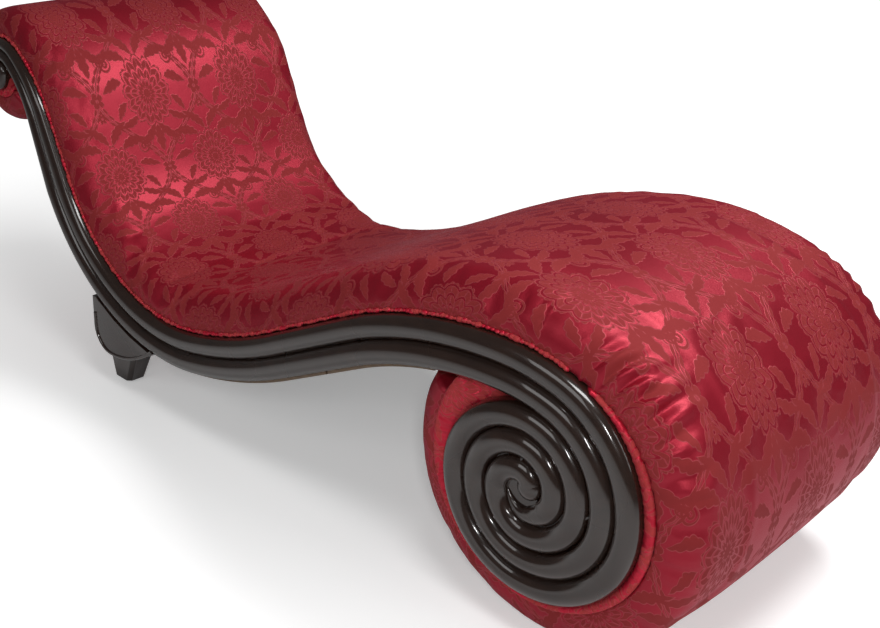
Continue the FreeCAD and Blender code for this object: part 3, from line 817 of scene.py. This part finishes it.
# On the far side the tucks are shallower, because there they would notch the outline.
tuck_scale = np.where(side_sign < 0, 1.0, 0.35)
tucks = np.zeros_like(height)
for place, depth, reach, width, lean in (
    (-0.062, 0.006, 0.075, 0.0040, 0.30), (-0.036, 0.010, 0.105, 0.0044, 0.22),
    (-0.012, 0.014, 0.130, 0.0046, 0.16), (0.010, 0.013, 0.150, 0.0046, 0.10),
    (0.032, 0.015, 0.140, 0.0050, 0.02), (0.060, 0.011, 0.150, 0.0050, -0.06),
    (0.092, 0.012, 0.115, 0.0052, -0.10), (0.130, 0.008, 0.100, 0.0052, -0.06),
    (0.178, 0.008, 0.085, 0.0056, 0.04), (0.236, 0.006, 0.080, 0.0060, -0.04),
    (0.330, 0.005, 0.070, 0.0090, 0.0), (0.450, 0.005, 0.070, 0.0100, 0.0),
    (0.580, 0.005, 0.060, 0.0100, 0.0),
):
    leaning = lean * from_edge * (1 + 2 * from_edge)
    centre = drum_start + place + leaning + 0.002 * wave(from_edge * 90, place * 60)
    fade = np.clip(1 - from_edge / reach, 0, 1) ** 0.9
    off = np.abs((along - centre) / (width * (0.7 + 0.9 * (1 - fade))))
    valley = -np.exp(-off ** 1.5)
    ridges = 0.55 * np.exp(-((off - 2.2) / 1.1) ** 2)
    tucks += tuck_scale * depth * fade * (valley + ridges)
pull = 0.0022 * wave(along * 95, 2.0 + side_sign) * np.exp(-from_edge / 0.045)
swell = 0.0016 * wave(along * 11, 0.4) * wave(section[..., 0] * 14 + 1.2, 1.9)
slack = np.clip((along - drum_start - 0.42) / 0.18, 0, 1)
height = height * (1 - 0.17 * slack)
risen = 0.0034 * pleats * curl + tucks + pull * (1 - 0.5 * curl) + swell
height = height + risen * np.clip(from_edge / 0.008, 0, 1)
section = np.stack([section[..., 0], height], -1)
section = np.concatenate([section, under], 1)
rings = lift(points, headings, section)

# %% Weave the grid into an object with its map
whole = around + under_points
caps = [tuple(range(whole)), tuple(range((count - 1) * whole, count * whole))]
upholstery = new_object("upholstery", rings.reshape(-1, 3), grid_faces(count, whole, True) + caps, damask)
outward(upholstery)
low_side = np.broadcast_to(girth[:, -1:], (count, under_points)) + np.linspace(0.01, 0.09, under_points)
map_across = np.concatenate([girth, low_side], 1)
lay_map(upholstery, np.stack([np.broadcast_to(distances[:, None], map_across.shape), map_across], -1))
print("upholstery faces", len(upholstery.data.polygons))

# %% Tighten the cloth
def tighten(piece, pinned, cap, frames):
    """Run the cloth solver, keep each move below the cap, and give both lengths of every move."""
    before = read_places(piece.data)
    group = piece.vertex_groups.new(name="tacked")
    for number, weight in pinned:
        group.add([int(number)], float(weight), "REPLACE")
    solver = piece.modifiers.new("cloth", "CLOTH")
    solver.settings.quality = 6
    solver.settings.mass = 0.3
    solver.settings.tension_stiffness = 12
    solver.settings.compression_stiffness = 12
    solver.settings.shear_stiffness = 6
    solver.settings.bending_stiffness = 0.4
    solver.settings.use_pressure = True
    solver.settings.uniform_pressure_force = 2.0
    solver.settings.shrink_min = -0.012
    solver.settings.vertex_group_mass = "tacked"
    solver.settings.effector_weights.gravity = 0
    solver.collision_settings.use_collision = False
    for number in range(1, frames + 1):
        bpy.context.scene.frame_set(number)
    settled = piece.evaluated_get(bpy.context.evaluated_depsgraph_get())
    moved = read_places(settled.data) - before
    piece.modifiers.remove(solver)
    piece.vertex_groups.remove(group)
    distance = np.linalg.norm(moved, axis=1)
    factor = np.where(distance > 1e-9, cap * np.tanh(distance / cap) / np.maximum(distance, 1e-9), 0)
    write_places(piece.data, before + moved * factor[:, None])
    bpy.context.scene.frame_set(1)
    return distance, distance * factor


edge = np.concatenate([np.exp(-(from_edge / 0.012)), np.ones((count, under_points))], 1)
ends = np.minimum(distances - distances[0], distances[-1] - distances)[:, None]
weights = np.maximum(edge, np.exp(-ends / 0.01))
folded = (np.abs(distances - drum_start - 0.09)[:, None] < 0.20) & (from_edge < 0.16)
weights[:, :around] = np.where(folded, 1.0, weights[:, :around])
weights = np.clip(weights, 0, 1).reshape(-1)
pinned = [(number, weight) for number, weight in enumerate(weights) if weight > 0.05]
pulled, kept = tighten(upholstery, pinned, 0.005, 14)
print("solver pulled the cloth, in mm: mean", round(1000 * pulled.mean(), 1),
      "most", round(1000 * pulled.max(), 1))
print("kept of it, in mm: mean", round(1000 * kept.mean(), 1), "most", round(1000 * kept.max(), 1))

# %% Set the drum on the floor and round the pad
floor_gap = 0.0008
places = read_places(upholstery.data)
places[:, 2] = np.maximum(places[:, 2], floor_gap)
write_places(upholstery.data, places)
subdivide(upholstery)
print("upholstery points", len(places))

# %% [markdown]
# ## Fabric rings round the spirals
#
# The damask turns over the end of each drum and is gathered into a narrow ring, which the wooden
# spiral almost fills. The ring is widest where the spiral has wound in the most. Each ring is
# made in polar form: its inner edge follows the wood, its outer edge is the rim of the drum.

# %% Rings
def outer_reach(stretches, centre, angles, limit):
    """How far the wood reaches from a centre in each direction, up to a limit."""
    places, _, _ = walk(stretches, 0.003)
    relative = places - (centre + shift)
    bearing = np.arctan2(relative[:, 1], relative[:, 0])
    reach = np.linalg.norm(relative, axis=1)
    result = np.zeros(len(angles))
    for number, angle in enumerate(angles):
        apart = np.abs((bearing - angle + math.pi) % (2 * math.pi) - math.pi)
        near = reach[apart < 0.03]
        result[number] = min(near.max(), limit) if len(near) else limit
    return result


def under_arm(centre, radius, angles):
    """1 where the rail passes over the rim of the drum or the roll, and 0 elsewhere."""
    covered = np.zeros(len(angles))
    arm = [line["brow"], line["head"], line["neck"], line["hump"], foot_crest, foot_quarters[0]]
    places, headings, _ = walk(arm, 0.004)
    on_rim = centre + shift + radius * np.stack([np.cos(angles), np.sin(angles)], -1)
    for number, spot in enumerate(on_rim):
        nearest = np.argmin(np.linalg.norm(places - spot, axis=1))
        below = -np.dot(spot - places[nearest], upward(headings[nearest]))
        past_end = abs(np.dot(spot - places[nearest], direction(headings[nearest])))
        covered[number] = 1.0 if -0.001 < below < rail_width + 0.004 and past_end < 0.006 else 0.0
    blur = np.hanning(9)
    wrapped = np.concatenate([covered[-4:], covered, covered[:4]])
    return np.convolve(wrapped, blur / blur.sum(), "valid")


def fabric_ring(name, stretches, centre, radius, side, proud, over):
    """Gathered cloth between the wood and the rim, from the tacked edge over its swell and back."""
    angles = np.linspace(-math.pi, math.pi, 480, endpoint=False)
    inner = outer_reach(stretches, centre, angles, radius - 0.003) - 0.0045
    lowered = under_arm(centre, radius, angles)
    wider_below = 0.62 - 0.38 * np.cos(angles)
    span = radius + over * wider_below * (1 - lowered) - inner
    pucker = 0.0011 * wave(angles * radius * 420, 1.3) + 0.0006 * wave(angles * radius * 900, 0.2)
    profile = [
        (0.00, 0.001), (0.02, 0.012), (0.25, 0.0160 + proud * 0.5), (0.55, 0.0178 + proud),
        (0.85, 0.0178 + proud), (0.98, 0.0165 + proud * 0.6), (0.96, 0.0165), (0.80, 0.001),
    ]
    rings = []
    for share, stand in profile:
        lifted = rail_back + stand * (1 - 0.55 * lowered) + (pucker if 0.01 < share and stand > 0.001 else 0)
        r = inner + span * share
        x = centre[0] + shift[0] + r * np.cos(angles)
        z = np.maximum(centre[1] + shift[1] + r * np.sin(angles), 0.001)
        rings.append(np.stack([x, side * (lifted + 0 * angles), z], -1))
    rings = np.stack(rings, 1)
    count, around = rings.shape[:2]
    faces = grid_faces(count, around, True)
    last = (count - 1) * around
    faces += [(last + k, last + (k + 1) % around, (k + 1) % around, k) for k in range(around)]
    piece = new_object(name, rings.reshape(-1, 3), faces, brightened_damask)
    outward(piece)
    subdivide(piece)
    return piece


# The rings face the camera and lie in shade, so their damask is painted 1.7 times brighter: painted light.
brightened_damask = make_damask("ring damask painted brighter", "Object", 1.7)
fabric_rings = {}
for side, word in both_sides:
    for end, wood, centre, radius, proud, over in (
        ("drum", foot_quarters[:4], drum_centre, drum_rim_radius, 0.0045, 0.010),
        ("head", head_quarters, roll_centre, head_rim_radius, 0.0015, 0.004),
    ):
        name = word + "_" + end + "_ring"
        fabric_rings[name] = fabric_ring(name, wood, centre, radius, side, proud, over)
print("rings", sorted(fabric_rings))

# %% [markdown]
# ## The puckered edge
#
# Where the damask is tacked behind the rail it bunches into small scallops, one between every
# two tacks. They repeat along a path, so Geometry Nodes set them out: points along the curve,
# one small puff on each, a little uneven. The result is turned into a plain mesh.

# %% Node tree for puffs on a path
puff_segments, puff_rings = 8, 6


def puff_tree():
    """A path goes in, and one uneven ball on each of its evenly spaced points comes out."""
    tree = bpy.data.node_groups.new("puffs on a path", "GeometryNodeTree")
    face = tree.interface
    face.new_socket("Path", in_out="INPUT", socket_type="NodeSocketGeometry")
    sizes = {}
    for name, value in (("Spacing", 0.009), ("Thickness", 0.003), ("Length", 0.005), ("Unevenness", 0.25)):
        socket = face.new_socket(name, in_out="INPUT", socket_type="NodeSocketFloat")
        socket.default_value = value
        sizes[name] = socket.identifier
    finish = face.new_socket("Finish", in_out="INPUT", socket_type="NodeSocketMaterial")
    sizes["Finish"] = finish.identifier
    face.new_socket("Puffs", in_out="OUTPUT", socket_type="NodeSocketGeometry")
    nodes = tree.nodes
    given, result = nodes.new("NodeGroupInput"), nodes.new("NodeGroupOutput")
    curve = nodes.new("GeometryNodeMeshToCurve")
    spread = nodes.new("GeometryNodeCurveToPoints")
    spread.mode = "LENGTH"
    ball = nodes.new("GeometryNodeMeshUVSphere")
    ball.inputs["Segments"].default_value = puff_segments
    ball.inputs["Rings"].default_value = puff_rings
    ball.inputs["Radius"].default_value = 1.0
    smooth = nodes.new("GeometryNodeSetShadeSmooth")
    size = nodes.new("ShaderNodeCombineXYZ")
    uneven = nodes.new("FunctionNodeRandomValue")
    uneven.inputs["Seed"].default_value = 7
    low, high = nodes.new("ShaderNodeMath"), nodes.new("ShaderNodeMath")
    low.operation, high.operation = "SUBTRACT", "ADD"
    low.inputs[0].default_value = high.inputs[0].default_value = 1.0
    grow = nodes.new("ShaderNodeVectorMath")
    grow.operation = "SCALE"
    place = nodes.new("GeometryNodeInstanceOnPoints")
    real = nodes.new("GeometryNodeRealizeInstances")
    coat = nodes.new("GeometryNodeSetMaterial")
    for source, output, target, entry in (
        (given, "Path", curve, 0), (curve, 0, spread, "Curve"), (given, "Spacing", spread, "Length"),
        (ball, "Mesh", smooth, 0), (given, "Thickness", size, 0), (given, "Thickness", size, 1),
        (given, "Length", size, 2), (given, "Unevenness", low, 1), (given, "Unevenness", high, 1),
        (low, 0, uneven, 2), (high, 0, uneven, 3), (size, 0, grow, 0), (uneven, 1, grow, "Scale"),
        (spread, "Points", place, "Points"), (spread, "Rotation", place, "Rotation"),
        (smooth, 0, place, "Instance"), (grow, 0, place, "Scale"), (place, 0, real, 0),
        (real, 0, coat, "Geometry"), (given, "Finish", coat, "Material"), (coat, 0, result, 0),
    ):
        tree.links.new(source.outputs[output], target.inputs[entry])
    return tree, sizes


puffs, puff_sizes = puff_tree()


def puffs_along(name, paths, material, spacing, thickness, length, unevenness):
    """Puffs along one or more open paths of 3-D points, as one plain mesh."""
    vertices, edges = [], []
    for path in paths:
        start = len(vertices)
        vertices.extend([tuple(p) for p in path])
        edges.extend((start + k, start + k + 1) for k in range(len(path) - 1))
    mesh = bpy.data.meshes.new(name + "_path")
    mesh.from_pydata(vertices, edges, [])
    piece = add_object(name, mesh)
    maker = piece.modifiers.new("puffs", "NODES")
    maker.node_group = puffs
    for key, value in (
        ("Spacing", spacing), ("Thickness", thickness), ("Length", length), ("Unevenness", unevenness),
        ("Finish", material),
    ):
        maker[puff_sizes[key]] = value
    ready = piece.evaluated_get(bpy.context.evaluated_depsgraph_get())
    made = bpy.data.meshes.new_from_object(ready)
    piece.modifiers.clear()
    piece.data = made
    if not made.materials:
        made.materials.append(material)
    return piece


# %% Scallops along the rails
edge_line = [line["brow"], line["head"], line["neck"], line["back"]] + even[:4] + [foot_crest]
scallops = {}
for side, word in both_sides:
    places, headings, spots = walk(edge_line, 0.006)
    above = upward(headings)
    rise = 0.0042 + 0.0012 * wave(spots * 160, 0.5)
    x, z = places[:, 0] + above[:, 0] * rise, places[:, 1] + above[:, 1] * rise
    path = np.stack([x, np.full_like(x, side * pad_edge), z], -1)
    # The scallops use the same brightened damask, so they carry that painted light too.
    scallops[word] = puffs_along(word + "_scallops", [path], brightened_damask, 0.0085, 0.0036, 0.0056, 0.3)
    print(word, "scallops", len(scallops[word].data.polygons), "faces")

# %% [markdown]
# ## Outside back and dust cover
#
# A couch like this stands in the middle of a room, so its back is covered in the same damask.
# The cloth is stretched between the rails and held by a close row of small domed nails. Under the
# seat a plain black lining keeps dust out. Both are sheets stretched on the frame, with a slight
# sag between their nailed edges.

# %% Stretched sheets
nail_spacing = 0.022


def stretched_sheet(name, stretches, height_along, material, sag, clear_of, across=44):
    """A sheet between the side boards, clear of a round pad, with its map in metres."""
    places, headings, spots = walk(stretches, 0.009)
    centre, radius = clear_of
    level = height_along(spots)
    lying = places + upward(headings) * level[:, None]
    clear = np.linalg.norm(lying - (centre + shift), axis=1) > radius
    places, headings, spots, level = places[clear], headings[clear], spots[clear], level[clear]
    # The cloth lies below the S line, so its own length is measured where it lies.
    steps = np.linalg.norm(np.diff(lying[clear], axis=0), axis=1)
    cut = np.concatenate([[0], np.cumsum(steps)])
    y = np.linspace(-1, 1, across) * (rail_back - 0.0006)
    ends = np.minimum(spots - spots[0], spots[-1] - spots)
    middle_share = (1 - (y / rail_back) ** 2)[None, :] * (1 - np.exp(-ends / 0.05))[:, None]
    near_edge = np.exp(-(rail_back - np.abs(y)) / 0.012)[None, :]
    dimple = 0.0009 * np.cos(spots * 2 * math.pi / nail_spacing)[:, None] * near_edge
    height = level[:, None] - sag * middle_share + dimple
    spread = np.broadcast_to(y, height.shape)
    rings = lift(places, headings, np.stack([spread, height], -1))
    piece = new_object(name, rings.reshape(-1, 3), grid_faces(len(places), across, False), material)
    lay_map(piece, np.stack([np.broadcast_to(cut[:, None], height.shape), spread], -1))
    wall = piece.modifiers.new("wall", "SOLIDIFY")
    wall.thickness = 0.0011
    wall.offset = 0
    return piece, (2 * rail_back, float(cut[-1])), [rings[:, 1], rings[:, -2]]


leg_share = 0.594
cover_lift = 0.0052
low_dip, high_dip = line["dip"].part(0, leg_share), line["dip"].part(leg_share, 1)


def outside_level(spots):
    width = head_rail_width + (rail_width - head_rail_width) * np.clip(spots / taper_length, 0, 1)
    return cover_lift - width


outside_back, outside_size, outside_edges = stretched_sheet(
    "outside_back", tapered + [low_dip], outside_level, damask, 0.003, (roll_centre, roll_radius + 0.004))

# %% Lining and webbing cloth
def make_cloth(name, low, high, coordinates, thread, roughness):
    """A plain weave: two sets of threads over and under each other."""
    material, tree, shader = new_material(name)
    source = tree.nodes.new("ShaderNodeTexCoord").outputs[coordinates]
    across, along = split_vector(tree, source)[:2]
    first = (across * (math.pi / thread)).sine().absolute()
    second = (along * (math.pi / thread)).sine().absolute()
    weave = first.larger(second)
    shade = (weave * 0.6 + noise(tree, 14, 4, source) * 0.6) * 0.8
    tree.links.new(blend_colour(tree, shade, low, high), shader.inputs["Base Color"])
    shader.inputs["Roughness"].default_value = roughness
    add_bump(tree, shader, weave, 0.0005, 0.5)
    return material


lining = make_cloth("black lining", (0.010, 0.010, 0.011), (0.040, 0.039, 0.040), "UV", 0.0012, 0.9)
jute = make_cloth("jute webbing", (0.24, 0.16, 0.08), (0.50, 0.38, 0.22), "Object", 0.004, 0.85)


def dust_level(spots):
    return np.full_like(spots, cover_lift - rail_width)


dust_cloth, dust_size, _ = stretched_sheet(
    "dust_cloth", [high_dip] + even[1:4], dust_level, lining, 0.006, (drum_centre, drum_radius + 0.003))
print("outside back", outside_size, "dust cloth", dust_size)

# %% [markdown]
# ## Nails, webbing and timber
#
# A row of small domed nails closes each edge of the outside back. Woven jute straps carry the
# padding. The timber parts keep their CAD shape and get a sawn finish, and the steel and the
# plastic glides get theirs. Nobody sees most of this, but it shows wherever the couch is opened.

# %% Steel, timber, plastic
def make_timber():
    material, tree, shader = new_material("frame timber")
    rings_of_growth = noise(tree, 30, 8, stretch=(1.0, 0.35, 1.0))
    saw_marks = noise(tree, 260, 2, stretch=(0.3, 1.0, 1.0))
    colour = blend_colour(tree, rings_of_growth, (0.42, 0.27, 0.13), (0.66, 0.50, 0.31))
    tree.links.new(colour, shader.inputs["Base Color"])
    tree.links.new((saw_marks * 0.2 + 0.62).socket, shader.inputs["Roughness"])
    add_bump(tree, shader, saw_marks, 0.0005, 0.4)
    return material

timber = make_timber()
steel = plain_finish("zinc steel", (0.46, 0.46, 0.47), (0.66, 0.66, 0.68), (90, 3), (0.25, 0.25), 1.0)
brass = plain_finish("antique nail", (0.20, 0.11, 0.05), (0.44, 0.28, 0.13), (120, 3), (0.3, 0.25), 1.0)
plastic = plain_finish("glide plastic", (0.03, 0.03, 0.03), (0.07, 0.07, 0.07), (70, 4), (0.2, 0.5))
back_nails = puffs_along("back_nails", outside_edges, brass, nail_spacing, 0.0044, 0.0044, 0.04)
print("nails", len(back_nails.data.polygons) // (puff_segments * puff_rings))

# %% Webbing
strap_half = 0.030
strap_spacing = 0.080
strap_reach = 0.262
strap_margin = 0.045


def strap_outline(middle, half, low, high):
    """Section of a thin strap with soft edges."""
    tip, mean = half + 0.0005, (low + high) / 2
    return np.array([(middle - half, low), (middle - tip, mean), (middle - half, high),
                     (middle + half, high), (middle + tip, mean), (middle + half, low)])


def webbing_straps(name, stretches):
    """Straps across and along, lying at the rails' upper edge."""
    places, headings, spots = walk(stretches, 0.012)
    inside = (spots > 0.012) & (spots < spots[-1] - 0.012)
    sets = []
    for y in (-0.20, -0.12, -0.04, 0.04, 0.12, 0.20):
        outline = strap_outline(y, strap_half, -0.0022, -0.0012)
        sets.append(lift(places[inside], headings[inside], outline))
    cross_outline = strap_outline(0, strap_reach, -0.0036, -0.0026)
    centre = spots[0] + strap_margin
    while centre < spots[-1] - strap_margin:
        window = np.linspace(centre - strap_half, centre + strap_half, 5)
        x, z = np.interp(window, spots, places[:, 0]), np.interp(window, spots, places[:, 1])
        sets.append(lift(np.stack([x, z], -1), np.interp(window, spots, headings), cross_outline))
        centre += strap_spacing
    return strands_mesh(name, sets, jute, crisp=False)


straps = {
    "back_webbing": webbing_straps("back_straps", [line["neck"], line["back"]]),
    "seat_webbing": webbing_straps("seat_straps", [line["dip"], line["rise"]]),
    "hump_webbing": webbing_straps("hump_straps", [line["slope"], line["hump"], line["crest"]]),
}
print("straps", [len(piece.data.polygons) for piece in straps.values()])

# %% [markdown]
# ## Legs
#
# Each leg is bandsawn from one block: a knee plate laid over the rail and a foot that tapers to
# the floor. The CAD leg has the right form with flat facets. A copy of it is merged and given
# rounded arrises by a bevel, and a raised lip follows the lower edge of the knee, as a carver
# would leave it.

# %% Rounded legs
legs = {}
for word in ("right", "left"):
    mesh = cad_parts[word + "_leg"].data.copy()
    mesh.name = word + "_rounded_leg"
    leg = add_object(mesh.name, mesh)
    outward(leg, flatten=True)
    mesh.materials.clear()
    mesh.materials.append(lacquer)
    mesh.shade_smooth()
    bevel = leg.modifiers.new("arris", "BEVEL")
    bevel.width = 0.0035
    bevel.segments = 3
    bevel.limit_method = "ANGLE"
    bevel.angle_limit = math.radians(28)
    bevel.harden_normals = True
    legs[word] = leg
print("legs", [len(leg.data.polygons) for leg in legs.values()])

# %% Raised lip on the knee
leg_place, leg_turn = line["dip"].at(np.array([leg_share]))
leg_place = leg_place[0] + shift - upward(leg_turn)[0] * rail_width
knee_back, knee_front, knee_drop, knee_round, knee_runout = 0.098, 0.106, 0.074, 0.052, 0.016
lip_inset, lip_stand = 0.0045, 0.0108
lip_half_width, lip_half_height = 0.0036, 0.0027
corner = np.linspace(math.pi, 1.5 * math.pi, 16)
bend_x = knee_round * (1 + np.cos(corner)) - knee_back
bend_z = knee_round * (1 + np.sin(corner)) - knee_drop
share = np.linspace(0.03, 0.985, 40)
tail_x = knee_round - knee_back + (knee_front + knee_back - knee_round) * share
tail_z = -knee_drop + (knee_drop - knee_runout) * share ** 2
bend, tail = np.stack([bend_x, bend_z], -1), np.stack([tail_x, tail_z], -1)
route = np.concatenate([[[-knee_back, 0.004]], bend, tail])
forward = np.gradient(route, axis=0)
forward /= np.linalg.norm(forward, axis=1)[:, None]
inward = np.stack([-forward[:, 1], forward[:, 0]], -1)
lips = {}
for side, word in both_sides:
    rings = []
    for angle in np.linspace(0, 2 * math.pi, 10, endpoint=False):
        off = leg_place + route + inward * (lip_inset + lip_half_width * math.cos(angle))
        stand = half_width + lip_stand + lip_half_height * math.sin(angle)
        rings.append(np.stack([off[:, 0], np.full(len(off), side * stand), off[:, 1]], -1))
    lips[word] = strands_mesh(word + "_knee_lip", [np.stack(rings, 1)], lacquer)
print("lips", sorted(lips))

# %% Finishes on the CAD parts that stay
for name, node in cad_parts.items():
    kind = timber
    if any(word in name for word in ("scroll", "seat_rail", "leg")) and "cross" not in name:
        kind = lacquer
    if any(word in name for word in ("bolts", "screws")):
        kind = steel
    if "glides" in name:
        kind = plastic
    for slot in node.material_slots:
        slot.material = kind

# %% [markdown]
# ## Riding on the frame
#
# Every visible piece is tied to the CAD body, and the CAD parts it stands for are hidden.

# %% Tie the pieces to the frame
def belongs(piece, slot, *nodes):
    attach(piece, "root")
    if nodes:
        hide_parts(*nodes)


for word in ("right", "left"):
    belongs(show_rails[word], "lacquered_wood", word + "_head_scroll", word + "_seat_rail",
            word + "_foot_scroll")
    belongs(legs[word], "lacquered_wood", word + "_leg")
    belongs(lips[word], "lacquered_wood")
    # The underside strips are paler brown as a painted reflection of the floor, not as bare timber.
    belongs(edge_strips[word], "frame_timber")
    belongs(fabric_rings[word + "_drum_ring"], "damask", word + "_drum_rim")
    belongs(fabric_rings[word + "_head_ring"], "damask", word + "_head_rim")
    belongs(scallops[word], "damask")
for piece in grounds.values():
    belongs(piece, "lacquered_wood")
for node, piece in straps.items():
    belongs(piece, "webbing", node)
belongs(back_nails, "steel")
belongs(upholstery, "damask", "top_cover", "drum_cover", "head_roll_foam", "back_foam", "seat_foam",
        "hump_foam", "drum_foam")
belongs(outside_back, "damask", "outside_back_cover")
belongs(dust_cloth, "lining", "dust_cover")

# %% [markdown]
# ## Floor, light and camera
#
# A photographer would put such a piece on white paper. A large soft lamp stands high behind the
# couch and grazes the satin, a second one hangs over the seat, and weak ones fill from the front
# and the side. One narrow bright lamp by the camera is there for the gloss, because a lacquered
# bead shows its roundness only through what it reflects. The paper glows for the camera alone,
# and the backdrop gives the couch a tenth of what the camera sees of it. The camera stands where
# the photograph was taken.

# %% White paper floor
def make_paper():
    material, tree, shader = new_material("white paper")
    tooth = noise(tree, 400, 2)
    white = blend_colour(tree, tooth, (0.86, 0.86, 0.86), (0.90, 0.90, 0.90))
    tree.links.new(white, shader.inputs["Base Color"])
    shader.inputs["Roughness"].default_value = 0.9
    shader.inputs["Emission Color"].default_value = (1, 1, 1, 1)
    ray = tree.nodes.new("ShaderNodeLightPath")
    x, y = split_vector(tree, tree.nodes.new("ShaderNodeTexCoord").outputs["Object"])[:2]
    away = ((x * x * 0.5 + y * y).root() - 1.3).soft_step(1.8)
    seen = Formula(tree, ray.outputs["Is Camera Ray"])
    tree.links.new((seen * (away * 0.75 + 0.30)).socket, shader.inputs["Emission Strength"])
    return material


floor_mesh = bpy.data.meshes.new("paper_floor")
reach = 30.0
corners = [(-reach, -reach, 0), (reach, -reach, 0), (reach, reach, 0), (-reach, reach, 0)]
floor_mesh.from_pydata(corners, [], [(0, 1, 2, 3)])
floor_mesh.materials.append(make_paper())
floor = add_object("paper_floor", floor_mesh)

world = bpy.data.worlds.new("studio")
bpy.context.scene.world = world
world.use_nodes = True
sky = world.node_tree
ray = sky.nodes.new("ShaderNodeLightPath")
seen = Formula(sky, ray.outputs["Is Camera Ray"])
sky.nodes["Background"].inputs["Color"].default_value = (1, 1, 1, 1)
sky.links.new((seen * 0.90 + 0.10).socket, sky.nodes["Background"].inputs["Strength"])


def panel(name, place, target, size, power):
    """A soft rectangular lamp that faces a target."""
    lamp = bpy.data.lights.new(name, "AREA")
    lamp.shape = "RECTANGLE"
    lamp.size, lamp.size_y = size
    lamp.energy = power
    stand = add_object(name, lamp)
    stand.location = place
    stand.rotation_euler = (Vector(target) - Vector(place)).to_track_quat("-Z", "Y").to_euler()


panel("key", (0.9, 1.1, 2.5), (0.25, 0, 0.4), (1.3, 0.8), 40)
panel("overhead", (1.1, -0.7, 2.3), (0.7, -0.2, 0.4), (0.8, 0.5), 17)
panel("front", (0.2, -2.6, 1.9), (0.2, 0, 0.3), (1.6, 1.0), 13)
panel("window", (2.2, -2.2, 1.9), (0.6, -0.3, 0.3), (0.16, 0.50), 20)
panel("side", (2.6, 0.2, 1.5), (-0.3, 0, 0.4), (0.8, 1.2), 8)

# %% Camera
azimuth, elevation, tilt = 0.777628, 0.440751, 0.037499
camera_place = (1.43123, -1.44975, 1.11787)
flat_reach = math.cos(elevation)
back = Vector((math.sin(azimuth) * flat_reach, -math.cos(azimuth) * flat_reach, math.sin(elevation)))
level = (-back).cross(Vector((0, 0, 1))).normalized()
rise = level.cross(-back)
right = level * math.cos(tilt) + rise * math.sin(tilt)
top = rise * math.cos(tilt) - level * math.sin(tilt)
lens = bpy.data.cameras.new("camera")
lens.lens, lens.sensor_width = 47.355, 36.0
lens.shift_x, lens.shift_y = 0.0803, 0.0278
camera = add_object("camera", lens)
turn = Matrix((right, top, back)).transposed().to_4x4()
camera.matrix_world = Matrix.Translation(camera_place) @ turn
bpy.context.scene.camera = camera
bpy.context.scene.view_settings.view_transform = "Standard"

# %% Update the scene
bpy.context.view_layer.update()
